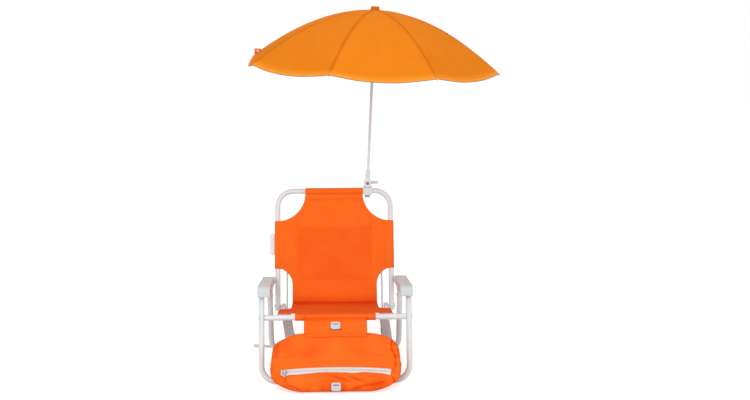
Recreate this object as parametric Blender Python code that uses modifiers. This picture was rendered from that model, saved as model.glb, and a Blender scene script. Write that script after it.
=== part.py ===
"""Kids canopy chair: a folding beach chair of bent tube, with a fabric sling, a zipped pouch and an umbrella.

Metres, +Z up. The chair faces -Y. The origin is on the floor, under the middle of the front floor bar.
"""

from math import asin, cos, hypot, pi, radians, sin, tan

import bmesh
import bpy
from mathutils import Matrix, Vector

# Frame tubes
TUBE_DIAMETER = 0.015
LAYER_CLEARANCE = 0.0006
SEAT_HALF_WIDTH = 0.1435
CORNER_RADIUS = 0.044
FLOOR_CORNER_RADIUS = 0.040
FLOOR_FACET_DEPTH = 0.0006

# Side view of the frame
SEAT_FRONT_HEIGHT = 0.160
SEAT_DEPTH = 0.270
ARM_RISE = 0.068
BACK_LENGTH = 0.325
RAIL_OVERHANG = 0.013
SEAT_SLOPE = radians(10)
RECLINE = radians(20)
REAR_LEG_LEAN = radians(12.4)
REAR_PIVOT_BEHIND = 0.165
REAR_PIVOT_BELOW = 0.0185
REAR_LEG_TOP = 0.082
LEG_TOP_OVERHANG = 0.0085

# Bolts and brackets
BOLT_DIAMETER = 0.006
BOLT_CLEARANCE = 0.0003
HEAD_DIAMETER = 0.0105
HEAD_HEIGHT = 0.0024
SEAT_GAP = 0.0003
BOLT_GRIP = 0.012
BRACKET_THICKNESS = 0.0028
BRACKET_WIDTH = 0.022
BRACKET_BOSS_DIAMETER = 0.013

# Arm rests
ARM_WALL = 0.0022
ARM_INNER_CLEARANCE = 0.0016
ARM_TOP_RISE = 0.0145
ARM_SKIRT = 0.0055
ARM_NOSE_REACH = 0.026
ARM_NOSE_DROP = 0.0135
ARM_NOSE_RADIUS = 0.014
ARM_TAIL_REACH = 0.014
ARM_TAIL_RADIUS = 0.007
ARM_EDGE_RADIUS = 0.0022

# Sling
SLEEVE_GAP = 0.0003
CLOTH = 0.0009
SLING_TOP_INSET = 0.0781
UPPER_CUT_RADIUS = 0.078
UPPER_CUT_HEIGHT = 0.317
LOWER_CUT_RADIUS = 0.045
LOWER_CUT_HEIGHT = 0.060
LOWER_CUT_OFFSET = 0.004
FRONT_SLEEVE_INSET = 0.0395
SEAT_SLEEVE_START = 0.0185
SEAT_SLEEVE_SHORT = 0.034

# Pouch, with its neck
POUCH_OVERHANG = 0.0225
POUCH_BACK = 0.030
POUCH_DEPTH = 0.112
POUCH_HEIGHT = 0.126
# Side outline: places as shares of the pouch's depth, forwards, and of its height
POUCH_OUTLINE_SHARES = (
    (0.00, 1.02), (0.20, 1.06), (0.56, 0.80), (0.92, 0.44),
    (1.06, 0.12), (0.90, -0.008), (0.48, -0.008), (0.20, 0.45),
)
# Stations from the middle to the side: place as a share of the half width, and size of the outline
POUCH_STATION_SHARES = ((0.0, 1.0), (0.36, 1.0), (0.72, 1.0), (0.93, 0.93), (1.0, 0.62))
POUCH_CENTRE_SHARES = (0.50, 0.44)
NECK_INSET = 0.023
NECK_LANDING_SHARE = 0.2
ZIPPER_INSET = 0.026
ZIPPER_HEIGHT = 0.070
ZIPPER_WIDTH = 0.011
ZIPPER_SAG = 0.008
TRIM_THICKNESS = 0.0012
SLIDER_LENGTH = 0.011
SLIDER_WIDTH = 0.008
SLIDER_HEIGHT = 0.0035
SLIDER_GAP = 0.0009
PULL_LENGTH = 0.016
PULL_WIDTH = 0.0045
PULL_THICKNESS = 0.0014
PULL_CORNER_RADIUS = 0.0015
BUCKLE_WIDTH = 0.024
BUCKLE_HEIGHT = 0.021
BUCKLE_THICKNESS = 0.0045
SLOT_WIDTH_SHARE = 0.64
SLOT_LOW_SHARE = 0.13
SLOT_HIGH_SHARE = 0.26
LOWER_BUCKLE_OFFSET = 0.022

# Straps and tag
STRAP_WIDTH = 0.027
STRAP_THICKNESS = 0.0016
STRAP_INSET = 0.0085
STRAP_TOP = 0.200
STRAP_SWING = 0.034
STRAP_BEND = 0.024
STRAP_END_BEND = 0.010
STRAP_SEWN_LENGTH = 0.030
STRAP_FLOOR_GAP = 0.012
TAG_WIDTH = 0.014
TAG_HEIGHT = 0.060
TAG_THICKNESS = 0.0008
TAG_LOW = 0.144

# Umbrella clamp and knuckle
CLAMP_GAP = 0.0015
CLAMP_WIDTH = 0.026
CLAMP_HEIGHT = 0.022
CLAMP_FRONT = 0.0115
CLAMP_BACK = 0.0225
CLAMP_SLOT = 0.003
CLAMP_EDGE_RADIUS = 0.002
KNUCKLE_RISE = 0.0225
KNUCKLE_DIAMETER = 0.0225
EAR_THICKNESS = 0.0065
SOCKET_DIAMETER = 0.0135
SOCKET_END = 0.0355
KNOB_DIAMETER = 0.016
KNOB_LENGTH = 0.010
KNOB_LOBES = 6
KNOB_LOBE_SHARE = 0.1
LEVER_REACH = 0.030
LEVER_WIDTH = 0.008
LEVER_THICKNESS = 0.004
TILT_SCREW_HEAD_DIAMETER = 0.009

# Umbrella
UMBRELLA_LEAN = radians(2.5)
POLE_DIAMETER = 0.0075
POLE_SEAT_DEPTH = 0.022
POLE_LENGTH = 0.472
CANOPY_RADIUS = 0.360
CANOPY_RISE = 0.150
CANOPY_SHAPE_POWER = 1.9
CANOPY_THICKNESS = 0.0010
HEM_SAG = 0.014
VALLEY_DEPTH = 0.004
RIB_COUNT = 8
FIRST_RIB_ANGLE = radians(-65)
RIB_DIAMETER = 0.0030
RIB_TIP_REACH = 0.004
RIB_ROOT_RADIUS = 0.0085
RIB_JOINT_RADIUS = 0.170
STRETCHER_DIAMETER = 0.0026
STRETCHER_SIDE_GAP = 0.0005
CROWN_DIAMETER = 0.022
CROWN_HEIGHT = 0.012
CROWN_CAP_HEIGHT = 0.009
RUNNER_DROP = 0.150
RUNNER_DIAMETER = 0.0125
RUNNER_FLANGE_DIAMETER = 0.020
RUNNER_HEIGHT = 0.030
RUNNER_FLANGE_HEIGHT = 0.008
RUNNING_CLEARANCE = 0.0004
NOTCH_WIDTH = 0.0040

# Mesh fineness
TUBE_ROUNDNESS = 5
ROD_ROUNDNESS = 1
CORNER_STEPS = 6
TURNED_STEPS = 28
SLEEVE_STEPS = 20
GORE_STEPS = 6
CANOPY_RINGS = 9
ZIPPER_ROWS = 2
ZIPPER_STEPS = 28
CUT_OVERRUN = 0.004
MERGE_DISTANCE = 0.00001

# Layers of the frame, from the inside out, and the side view that follows from the sizes
LAYER_PITCH = TUBE_DIAMETER + LAYER_CLEARANCE
TUBE_RADIUS = TUBE_DIAMETER / 2
BACK_HALF_WIDTH = SEAT_HALF_WIDTH + LAYER_PITCH
REAR_HALF_WIDTH = BACK_HALF_WIDTH + LAYER_PITCH
FRONT_HALF_WIDTH = REAR_HALF_WIDTH + LAYER_PITCH
BAR_HEIGHT = TUBE_RADIUS - FLOOR_FACET_DEPTH
FRONT_LEG_BELOW = (SEAT_FRONT_HEIGHT - BAR_HEIGHT) / cos(RECLINE)
FRONT_PIVOT = Vector((0, FRONT_LEG_BELOW * sin(RECLINE), SEAT_FRONT_HEIGHT))
SEAT_TURN = Matrix.Rotation(-SEAT_SLOPE, 4, "X")
BACK_TURN = Matrix.Rotation(-RECLINE, 4, "X")
REAR_TURN = Matrix.Rotation(REAR_LEG_LEAN, 4, "X")
SEAT_PLACE = Matrix.Translation(FRONT_PIVOT) @ SEAT_TURN
BACK_PIVOT = SEAT_PLACE @ Vector((0, SEAT_DEPTH, 0))
BACK_PLACE = Matrix.Translation(BACK_PIVOT) @ BACK_TURN
LEG_PLACE = Matrix.Translation(FRONT_PIVOT) @ BACK_TURN
ARM_FRONT_PIVOT = LEG_PLACE @ Vector((0, 0, ARM_RISE))
ARM_PLACE = Matrix.Translation(ARM_FRONT_PIVOT) @ SEAT_TURN
REAR_PIVOT = SEAT_PLACE @ Vector((0, REAR_PIVOT_BEHIND, -REAR_PIVOT_BELOW))
REAR_PLACE = Matrix.Translation(REAR_PIVOT) @ REAR_TURN
REAR_LEG_BELOW = (REAR_PIVOT.z - BAR_HEIGHT) / cos(REAR_LEG_LEAN)
ARM_INNER = BACK_HALF_WIDTH + TUBE_RADIUS + ARM_INNER_CLEARANCE
ARM_OUTER = FRONT_HALF_WIDTH + TUBE_RADIUS + SEAT_GAP + ARM_WALL

# Turns a plate on edge: its outline lies in the side view (rearward, up) and its thickness runs along X
SIDEWAYS = Matrix(((0, 0, 1, 0), (1, 0, 0, 0), (0, 1, 0, 0), (0, 0, 0, 1)))

# The sling's sleeves and edges, and what is sewn to them
SLEEVE_INNER = TUBE_RADIUS + SLEEVE_GAP
SLEEVE_OUTER = SLEEVE_INNER + CLOTH
SLING_BEND = (pi / 2 + RECLINE - SEAT_SLOPE) / 2
CREASE = SLEEVE_OUTER / tan(SLING_BEND)
SLING_CENTRE_HALF_WIDTH = BACK_HALF_WIDTH + LOWER_CUT_OFFSET - LOWER_CUT_RADIUS
SLING_TOP_HALF_WIDTH = BACK_HALF_WIDTH - SLING_TOP_INSET
SEAT_FRONT_SLEEVE_HALF_WIDTH = SEAT_HALF_WIDTH - FRONT_SLEEVE_INSET
SEAT_SLEEVE_END = SEAT_DEPTH - SEAT_SLEEVE_SHORT
POUCH_HALF_WIDTH = SEAT_HALF_WIDTH + POUCH_OVERHANG
NECK_HALF_WIDTH = SEAT_FRONT_SLEEVE_HALF_WIDTH - NECK_INSET
ZIPPER_HALF_LENGTH = POUCH_HALF_WIDTH - ZIPPER_INSET
STRAP_HALF_SPACING = SEAT_HALF_WIDTH - STRAP_INSET

# The umbrella stands on the knuckle, which is over the back's top bar
TOP_BAR = BACK_PLACE @ Vector((0, 0, BACK_LENGTH))
CLAMP_X = SLING_TOP_HALF_WIDTH + CLAMP_GAP + CLAMP_WIDTH / 2
KNUCKLE = Vector((CLAMP_X, TOP_BAR.y, TOP_BAR.z + KNUCKLE_RISE))
POLE_PLACE = Matrix.Translation(KNUCKLE) @ Matrix.Rotation(UMBRELLA_LEAN, 4, "Y")
CROWN_LEVEL = SOCKET_END - POLE_SEAT_DEPTH + POLE_LENGTH
POLE_RADIUS = POLE_DIAMETER / 2
HOLE_DIAMETER = BOLT_DIAMETER + 2 * BOLT_CLEARANCE

# Colours as they look in plain light: red, green, blue, roughness, metallic
FINISHES = {
    "white_paint": (0.86, 0.86, 0.85, 0.35, 0.0),
    "grey_plastic": (0.72, 0.72, 0.72, 0.5, 0.0),
    "dark_steel": (0.16, 0.16, 0.17, 0.4, 1.0),
    "steel": (0.66, 0.66, 0.67, 0.3, 1.0),
    "chair_cloth": (1.0, 0.14, 0.015, 0.8, 0.0),
    "canopy_cloth": (0.80, 0.22, 0.012, 0.75, 0.0),
    "webbing": (0.52, 0.52, 0.52, 0.85, 0.0),
    "zipper_cloth": (0.80, 0.72, 0.70, 0.8, 0.0),
    "tag_cloth": (0.84, 0.84, 0.84, 0.8, 0.0),
}


def clear_scene():
    """Removes every object and makes the two collections, for the parts and for what cuts them."""
    for obj in list(bpy.data.objects):
        bpy.data.objects.remove(obj, do_unlink=True)
    made = []
    for name in ("kids_canopy_chair", "cutters"):
        collection = bpy.data.collections.new(name)
        bpy.context.scene.collection.children.link(collection)
        made.append(collection)
    return made


PARTS, CUTTERS = clear_scene()


def make_material(name):
    """A Principled material with the colour, roughness and metallic value of one finish."""
    red, green, blue, roughness, metallic = FINISHES[name]
    material = bpy.data.materials.new(name)
    material.use_nodes = True
    shader = material.node_tree.nodes["Principled BSDF"]
    shader.inputs["Base Color"].default_value = (red, green, blue, 1)
    shader.inputs["Roughness"].default_value = roughness
    shader.inputs["Metallic"].default_value = metallic
    material.diffuse_color = (red, green, blue, 1)
    return material


MATERIALS = {name: make_material(name) for name in FINISHES}


def add_object(name, data, finish, place=None):
    """Links a new object with the given data into the parts."""
    obj = bpy.data.objects.new(name, data)
    PARTS.objects.link(obj)
    obj.matrix_world = place or Matrix.Identity(4)
    if finish:
        data.materials.append(MATERIALS[finish])
    return obj


def smooth(obj, angle=radians(35)):
    """Shades a mesh smooth, with its sharp edges kept."""
    obj.data.shade_smooth()
    obj.data.set_sharp_from_angle(angle=angle)
    return obj


def rounded(points, radius, closed=False, steps=CORNER_STEPS):
    """The polyline through the points with each corner replaced by an arc of the radius."""
    points = [Vector(p) for p in points]
    count = len(points)
    radii = radius if isinstance(radius, (list, tuple)) else [radius] * count
    path = []
    for i, corner in enumerate(points):
        if (not closed and i in (0, count - 1)) or not radii[i]:
            path.append(corner.copy())
            continue
        before = (points[i - 1] - corner).normalized()
        after = (points[(i + 1) % count] - corner).normalized()
        half = before.angle(after) / 2
        reach = radii[i] / tan(half)
        middle = corner + (before + after).normalized() * (radii[i] / sin(half))
        start = corner + before * reach - middle
        end = corner + after * reach - middle
        turn = start.angle(end)
        for k in range(steps + 1):
            share = k / steps
            arm = (start * sin((1 - share) * turn) + end * sin(share * turn)) / sin(turn)
            path.append(middle + arm)
    return path


def to_mesh(obj):
    """Turns a curve object into a mesh object of the same name and place, its caps welded."""
    graph = bpy.context.evaluated_depsgraph_get()
    mesh = bpy.data.meshes.new_from_object(obj.evaluated_get(graph))
    work = bmesh.new()
    work.from_mesh(mesh)
    bmesh.ops.remove_doubles(work, verts=work.verts, dist=MERGE_DISTANCE)
    bmesh.ops.recalc_face_normals(work, faces=work.faces)
    work.to_mesh(mesh)
    work.free()
    name, place = obj.name, obj.matrix_world.copy()
    bpy.data.objects.remove(obj, do_unlink=True)
    made = bpy.data.objects.new(name, mesh)
    PARTS.objects.link(made)
    made.matrix_world = place
    return smooth(made)


def tube(name, path, diameter, finish, place=None, roundness=TUBE_ROUNDNESS, half_facets=0):
    """A round rod or tube along the path, with closed ends, its facets turned by so many half facets."""
    curve = bpy.data.curves.new(name, "CURVE")
    curve.dimensions = "3D"
    curve.bevel_depth = diameter / 2
    curve.bevel_resolution = roundness
    curve.use_fill_caps = True
    spline = curve.splines.new("POLY")
    spline.points.add(len(path) - 1)
    for point, place_on_path in zip(spline.points, path):
        point.co = (*place_on_path, 1)
        point.tilt = half_facets * pi / (4 + 2 * roundness)
    obj = add_object(name, curve, finish, place)
    bpy.context.view_layer.update()
    return to_mesh(obj)


def plate(name, outline, thickness, finish, place=None, holes=()):
    """A flat piece: a closed outline in local X and Y, thick along local Z about zero."""
    curve = bpy.data.curves.new(name, "CURVE")
    curve.dimensions = "2D"
    curve.fill_mode = "BOTH"
    curve.extrude = thickness / 2
    for ring in (outline, *holes):
        spline = curve.splines.new("POLY")
        spline.points.add(len(ring) - 1)
        for point, place_on_ring in zip(spline.points, ring):
            point.co = (place_on_ring[0], place_on_ring[1], 0, 1)
        spline.use_cyclic_u = True
    obj = add_object(name, curve, finish, place)
    bpy.context.view_layer.update()
    return to_mesh(obj)


def turned(name, profile, finish, place=None, steps=TURNED_STEPS):
    """A turned piece about local Z. The profile is (radius, height) pairs, running top to bottom."""
    mesh = bpy.data.meshes.new(name)
    edges = [(i, i + 1) for i in range(len(profile) - 1)]
    mesh.from_pydata([(radius, 0, height) for radius, height in profile], edges, [])
    obj = add_object(name, mesh, finish, place)
    screw = obj.modifiers.new("turn", "SCREW")
    screw.axis = "Z"
    screw.steps = screw.render_steps = steps
    screw.use_merge_vertices = True
    screw.merge_threshold = MERGE_DISTANCE
    screw.use_smooth_shade = True
    return obj


def cylinder(name, diameter, start, end, finish, place=None, steps=TURNED_STEPS):
    """A plain cylinder along local Z from start to end."""
    radius = diameter / 2
    return turned(name, [(0, end), (radius, end), (radius, start), (0, start)], finish, place, steps)


def make_cutter(obj):
    """Moves an object to the cutters, out of the render and drawn as wires."""
    PARTS.objects.unlink(obj)
    CUTTERS.objects.link(obj)
    obj.hide_render = True
    obj.display_type = "WIRE"
    return obj


def boolean(obj, other, operation="DIFFERENCE"):
    """Cuts the other object out of this one, or joins it on."""
    modifier = obj.modifiers.new(operation.lower(), "BOOLEAN")
    modifier.operation = operation
    modifier.solver = "EXACT"
    modifier.object = make_cutter(other)
    return obj


def bevel(obj, width, segments=2, angle=radians(40)):
    """Rounds the sharp edges."""
    modifier = obj.modifiers.new("rounding", "BEVEL")
    modifier.width = width
    modifier.segments = segments
    modifier.limit_method = "ANGLE"
    modifier.angle_limit = angle
    return obj


def across(centre, side=1):
    """The place of a piece whose local Z runs along world X, outwards on the given side."""
    return Matrix.Translation(centre) @ Matrix.Rotation(side * pi / 2, 4, "Y")


def drill(obj, centre, start, end, diameter=HOLE_DIAMETER):
    """Cuts a hole along world X between two places, measured from the middle of the chair."""
    place = across(Vector((0, centre.y, centre.z)))
    low, high = sorted((start, end))
    boolean(obj, cylinder(f"{obj.name}_hole", diameter, low, high, None, place))


def ring(radius, centre=(0, 0), steps=SLEEVE_STEPS, start=0, sweep=2 * pi, last=False):
    """Points of an arc or circle in a plane."""
    turns = [start + sweep * i / steps for i in range(steps + 1 if last else steps)]
    return [(centre[0] + radius * cos(turn), centre[1] + radius * sin(turn)) for turn in turns]


def block(name, size, finish, place=None):
    """A box of the given size about its own middle."""
    mesh = bpy.data.meshes.new(name)
    work = bmesh.new()
    bmesh.ops.create_cube(work, size=1)
    bmesh.ops.scale(work, vec=size, verts=work.verts)
    work.to_mesh(mesh)
    work.free()
    return add_object(name, mesh, finish, place)


def cut_floor_facet(obj):
    """Presses the floor bar's underside flat on the floor, as the weight on it does."""
    half = FRONT_HALF_WIDTH + TUBE_DIAMETER
    depth = SEAT_FRONT_HEIGHT + SEAT_DEPTH
    place = Matrix.Translation((0, 0, -CUT_OVERRUN / 2))
    boolean(obj, block(f"{obj.name}_floor", (2 * half, 2 * depth, CUT_OVERRUN), None, place))


def u_path(half_width, top, foot, radius):
    """A U of tube: up one side, or down, across at the foot and back on the other side, in local X and Z."""
    corners = [(-half_width, 0, top), (-half_width, 0, foot), (half_width, 0, foot), (half_width, 0, top)]
    return rounded(corners, radius)


def build_seat_frame():
    """Cross bar from leg to leg, with the two seat rails welded on behind it."""
    reach = FRONT_HALF_WIDTH - TUBE_RADIUS - SEAT_GAP
    frame = tube("seat_frame", [(-reach, 0, 0), (reach, 0, 0)], TUBE_DIAMETER, "white_paint", SEAT_PLACE)
    for side in (-1, 1):
        x = side * SEAT_HALF_WIDTH
        path = [(x, 0, 0), (x, SEAT_DEPTH + RAIL_OVERHANG, 0)]
        rail = tube("rail_joined_on", path, TUBE_DIAMETER, None, SEAT_PLACE, half_facets=1)
        boolean(frame, rail, "UNION")
        inner = SEAT_HALF_WIDTH - TUBE_DIAMETER
        drill(frame, BACK_PIVOT, side * inner, side * (SEAT_HALF_WIDTH + TUBE_DIAMETER))
        drill(frame, FRONT_PIVOT, side * (reach - BOLT_GRIP), side * (reach + CUT_OVERRUN))
    return frame


def build_back_frame():
    """Upside-down U of tube that carries the back of the sling and the umbrella."""
    path = u_path(BACK_HALF_WIDTH, -RAIL_OVERHANG, BACK_LENGTH, CORNER_RADIUS)
    frame = tube("back_frame", path, TUBE_DIAMETER, "white_paint", BACK_PLACE)
    arm_rear = ARM_PLACE @ Vector((0, SEAT_DEPTH, 0))
    for side in (-1, 1):
        low, high = BACK_HALF_WIDTH - TUBE_DIAMETER, BACK_HALF_WIDTH + TUBE_DIAMETER
        drill(frame, BACK_PIVOT, side * low, side * high)
        drill(frame, arm_rear, side * (BACK_HALF_WIDTH - BOLT_DIAMETER), side * high)
    return frame


def build_front_legs():
    """U of tube whose middle lies on the floor and whose tops carry the arm rests."""
    path = u_path(FRONT_HALF_WIDTH, ARM_RISE + LEG_TOP_OVERHANG, -FRONT_LEG_BELOW, FLOOR_CORNER_RADIUS)
    legs = tube("front_legs", path, TUBE_DIAMETER, "white_paint", LEG_PLACE)
    for side in (-1, 1):
        low, high = FRONT_HALF_WIDTH - TUBE_DIAMETER, FRONT_HALF_WIDTH + TUBE_DIAMETER
        drill(legs, FRONT_PIVOT, side * low, side * high)
        drill(legs, ARM_FRONT_PIVOT, side * low, side * high)
    cut_floor_facet(legs)
    return legs


def build_rear_legs():
    """Second U of tube, leaning the other way, on the brackets under the seat rails."""
    path = u_path(REAR_HALF_WIDTH, REAR_LEG_TOP, -REAR_LEG_BELOW, FLOOR_CORNER_RADIUS)
    legs = tube("rear_legs", path, TUBE_DIAMETER, "white_paint", REAR_PLACE)
    for side in (-1, 1):
        low = REAR_HALF_WIDTH - TUBE_DIAMETER
        drill(legs, REAR_PIVOT, side * low, side * (REAR_HALF_WIDTH + TUBE_RADIUS - SEAT_GAP))
    cut_floor_facet(legs)
    return legs


def build_bracket(side, word):
    """Rounded plate on the outer face of a seat rail, with a boss that meets the rear leg."""
    half = BRACKET_WIDTH / 2
    top = TUBE_RADIUS / 2
    outline = ring(half, (0, -REAR_PIVOT_BELOW), SLEEVE_STEPS, pi, pi, True) + [(half, top), (-half, top)]
    inner = SEAT_HALF_WIDTH + TUBE_RADIUS + SEAT_GAP
    centre = (side * (inner + BRACKET_THICKNESS / 2), REAR_PIVOT_BEHIND, 0)
    place = SEAT_PLACE @ Matrix.Translation(centre) @ SIDEWAYS
    bracket = plate(f"bracket_{word}", outline, BRACKET_THICKNESS, "white_paint", place)
    reach = REAR_HALF_WIDTH - TUBE_RADIUS - SEAT_GAP
    boss = cylinder("boss_joined_on", BRACKET_BOSS_DIAMETER, inner + BRACKET_THICKNESS / 2, reach, None,
                    across(Vector((0, REAR_PIVOT.y, REAR_PIVOT.z)), side))
    boolean(bracket, boss, "UNION")
    drill(bracket, REAR_PIVOT, side * (inner - CUT_OVERRUN), side * (reach + CUT_OVERRUN))
    return bracket


def build_bolt(name, centre, side, head_face, tip, finish="steel"):
    """Round-headed bolt along X: its head sits on head_face and its shank runs to tip, from the middle."""
    way = 1 if head_face > tip else -1
    length = abs(head_face - tip)
    head, shank = HEAD_DIAMETER / 2, BOLT_DIAMETER / 2
    profile = [(0, HEAD_HEIGHT), (head * cos(pi / 3), HEAD_HEIGHT)]
    profile += [(head, HEAD_HEIGHT * cos(pi / 3)), (head, 0), (shank, 0), (shank, -length), (0, -length)]
    place = across(Vector((side * head_face, centre.y, centre.z)), side * way)
    return turned(name, profile, finish, place, TURNED_STEPS // 2)


def build_bolts():
    """One bolt at each pivot of the frame."""
    front_face = FRONT_HALF_WIDTH + TUBE_RADIUS + SEAT_GAP
    arm_rear = ARM_PLACE @ Vector((0, SEAT_DEPTH, 0))
    bracket_face = SEAT_HALF_WIDTH + TUBE_RADIUS
    for side, word in ((-1, "left"), (1, "right")):
        reach = FRONT_HALF_WIDTH - TUBE_RADIUS - SEAT_GAP - BOLT_GRIP + SEAT_GAP
        build_bolt(f"front_pivot_bolt_{word}", FRONT_PIVOT, side, front_face, reach)
        build_bolt(f"back_pivot_bolt_{word}", BACK_PIVOT, side, BACK_HALF_WIDTH + TUBE_RADIUS + SEAT_GAP,
                   SEAT_HALF_WIDTH - TUBE_RADIUS)
        build_bolt(f"rear_leg_bolt_{word}", REAR_PIVOT, side, bracket_face, REAR_HALF_WIDTH + TUBE_RADIUS / 2)
        build_bolt(f"arm_front_bolt_{word}", ARM_FRONT_PIVOT, side, ARM_OUTER + SEAT_GAP, ARM_INNER)
        build_bolt(f"arm_rear_bolt_{word}", arm_rear, side, ARM_INNER + ARM_WALL + SEAT_GAP,
                   BACK_HALF_WIDTH - BOLT_DIAMETER + SEAT_GAP)


def build_arm(side, word):
    """Moulded channel, open below, whose front end curves down over the top of the front leg."""
    width = ARM_OUTER - ARM_INNER
    place = ARM_PLACE @ Matrix.Translation((side * (ARM_INNER + width / 2), 0, 0)) @ SIDEWAYS
    tail, nose = SEAT_DEPTH + ARM_TAIL_REACH, -ARM_NOSE_REACH
    nose_back = nose + ARM_NOSE_RADIUS
    corners = [(tail, -ARM_SKIRT, 0), (tail, ARM_TOP_RISE, 0), (nose, ARM_TOP_RISE, 0),
               (nose, -ARM_NOSE_DROP, 0), (nose_back, -ARM_NOSE_DROP, 0), (nose_back, -ARM_SKIRT, 0)]
    edge = ARM_EDGE_RADIUS
    radii = [edge, ARM_TAIL_RADIUS, ARM_NOSE_RADIUS, edge, edge, edge]
    arm = plate(f"arm_{word}", rounded(corners, radii, True), width, "grey_plastic", place)
    bevel(arm, ARM_EDGE_RADIUS / 2, 1)
    low = -ARM_NOSE_DROP - CUT_OVERRUN
    inside = [(tail - ARM_WALL, low, 0), (tail - ARM_WALL, ARM_TOP_RISE - ARM_WALL, 0),
              (nose + ARM_WALL, ARM_TOP_RISE - ARM_WALL, 0), (nose + ARM_WALL, low, 0)]
    inner_radii = [0, ARM_TAIL_RADIUS - ARM_WALL, ARM_NOSE_RADIUS - ARM_WALL, 0]
    inside = rounded(inside, inner_radii, True)
    hollow = plate(f"arm_{word}_hollow", inside, width - 2 * ARM_WALL, None, place)
    boolean(arm, hollow)
    rear = ARM_PLACE @ Vector((0, SEAT_DEPTH, 0))
    drill(arm, ARM_FRONT_PIVOT, side * (ARM_INNER - CUT_OVERRUN), side * (ARM_OUTER + CUT_OVERRUN))
    drill(arm, rear, side * (ARM_INNER - CUT_OVERRUN), side * (ARM_INNER + ARM_WALL + CUT_OVERRUN))
    return arm


def sling_section(half_width, way):
    """Section across the sling: a sheet that touches two tubes on one side, with a sleeve round each."""
    lap = asin(SLEEVE_INNER / SLEEVE_OUTER)
    sweep = pi + pi / 2 + lap
    right = ring(SLEEVE_OUTER, (half_width, 0), SLEEVE_STEPS, -pi / 2, sweep, True)
    left = [(-x, y) for x, y in reversed(right)]
    outline = [(x, -way * y) for x, y in right + left]
    holes = [ring(SLEEVE_INNER, (side * half_width, 0)) for side in (-1, 1)]
    return outline, holes


def sleeve_round(name, centre, half_length, place):
    """A sleeve along local X about the given place, to be joined on."""
    outline = [(y, z, 0) for y, z in ring(SLEEVE_OUTER, centre)]
    return plate(name, outline, 2 * half_length, None, place @ SIDEWAYS, [ring(SLEEVE_INNER, centre)])


def corner_cutter(name, size, centre, place):
    """A box that trims a corner of the sling."""
    return block(name, size, None, place @ Matrix.Translation(centre))


def build_back_sling():
    """Back of the sling: sleeves on the uprights and the top bar, with cut-outs at all four corners."""
    outline, holes = sling_section(BACK_HALF_WIDTH, -1)
    foot = CREASE + CLOTH
    height = BACK_LENGTH - foot
    place = BACK_PLACE @ Matrix.Translation((0, 0, foot + height / 2))
    sling = plate("back_sling", outline, height, "chair_cloth", place, holes)
    boolean(sling, sleeve_round("top_sleeve", (0, BACK_LENGTH), SLING_TOP_HALF_WIDTH, BACK_PLACE), "UNION")
    reach = SLEEVE_OUTER + CUT_OVERRUN
    lay = Matrix.Rotation(pi / 2, 4, "X")
    for side in (-1, 1):
        upper = (side * BACK_HALF_WIDTH, 0, UPPER_CUT_HEIGHT)
        lower = (side * (BACK_HALF_WIDTH + LOWER_CUT_OFFSET), 0, LOWER_CUT_HEIGHT)
        for centre, radius in ((upper, UPPER_CUT_RADIUS), (lower, LOWER_CUT_RADIUS)):
            at = BACK_PLACE @ Matrix.Translation(centre) @ lay
            boolean(sling, cylinder("sling_cut", 2 * radius, -reach, reach, None, at, 2 * TURNED_STEPS))
        size = (2 * LOWER_CUT_RADIUS, 2 * reach, LOWER_CUT_HEIGHT)
        middle = (side * (SLING_CENTRE_HALF_WIDTH + LOWER_CUT_RADIUS), 0, LOWER_CUT_HEIGHT / 2)
        boolean(sling, corner_cutter("sling_corner", size, middle, BACK_PLACE))
    return sling


def build_seat_sling():
    """Seat of the sling: sleeves on both rails and round the middle of the front bar."""
    outline, holes = sling_section(SEAT_HALF_WIDTH, 1)
    end = SEAT_DEPTH - CREASE - SLEEVE_GAP
    lay = Matrix.Rotation(pi / 2, 4, "X")
    place = SEAT_PLACE @ Matrix.Translation((0, end / 2, 0)) @ lay
    sling = plate("seat_sling", outline, end, "chair_cloth", place, holes)
    reach = SLEEVE_OUTER + CUT_OVERRUN
    for side in (-1, 1):
        edge = SEAT_HALF_WIDTH + reach
        for inner, low, high in (
            (SEAT_FRONT_SLEEVE_HALF_WIDTH, -CUT_OVERRUN, SEAT_SLEEVE_START),
            (SLING_CENTRE_HALF_WIDTH, SEAT_SLEEVE_END, SEAT_DEPTH),
        ):
            size = (edge - inner, high - low, 2 * reach)
            middle = (side * (edge + inner) / 2, (low + high) / 2, 0)
            boolean(sling, corner_cutter("seat_corner", size, middle, SEAT_PLACE))
        top = TUBE_RADIUS / 2 + CLOTH
        size = (reach, BRACKET_WIDTH + 2 * CLOTH, reach + top)
        middle = (side * (SEAT_HALF_WIDTH + reach / 2), REAR_PIVOT_BEHIND, (top - reach) / 2)
        boolean(sling, corner_cutter("bracket_notch", size, middle, SEAT_PLACE))
    boolean(sling, sleeve_round("front_sleeve", (0, 0), SEAT_FRONT_SLEEVE_HALF_WIDTH, SEAT_PLACE), "UNION")
    return sling


def ribbon(name, path, width, thickness, finish, x=0, radius=0):
    """A flat band of cloth along a path of (y, z) places, seen from the side."""
    curve = bpy.data.curves.new(name, "CURVE")
    curve.dimensions = "3D"
    curve.extrude = width / 2
    points = rounded([(y, z, 0) for y, z in path], radius)
    spline = curve.splines.new("POLY")
    spline.points.add(len(points) - 1)
    for point, place in zip(spline.points, points):
        point.co = (*place, 1)
    obj = add_object(name, curve, finish, Matrix.Translation((x, 0, 0)) @ SIDEWAYS)
    bpy.context.view_layer.update()
    obj = to_mesh(obj)
    solidify = obj.modifiers.new("thickness", "SOLIDIFY")
    solidify.thickness = thickness
    solidify.offset = 0
    return obj


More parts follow.
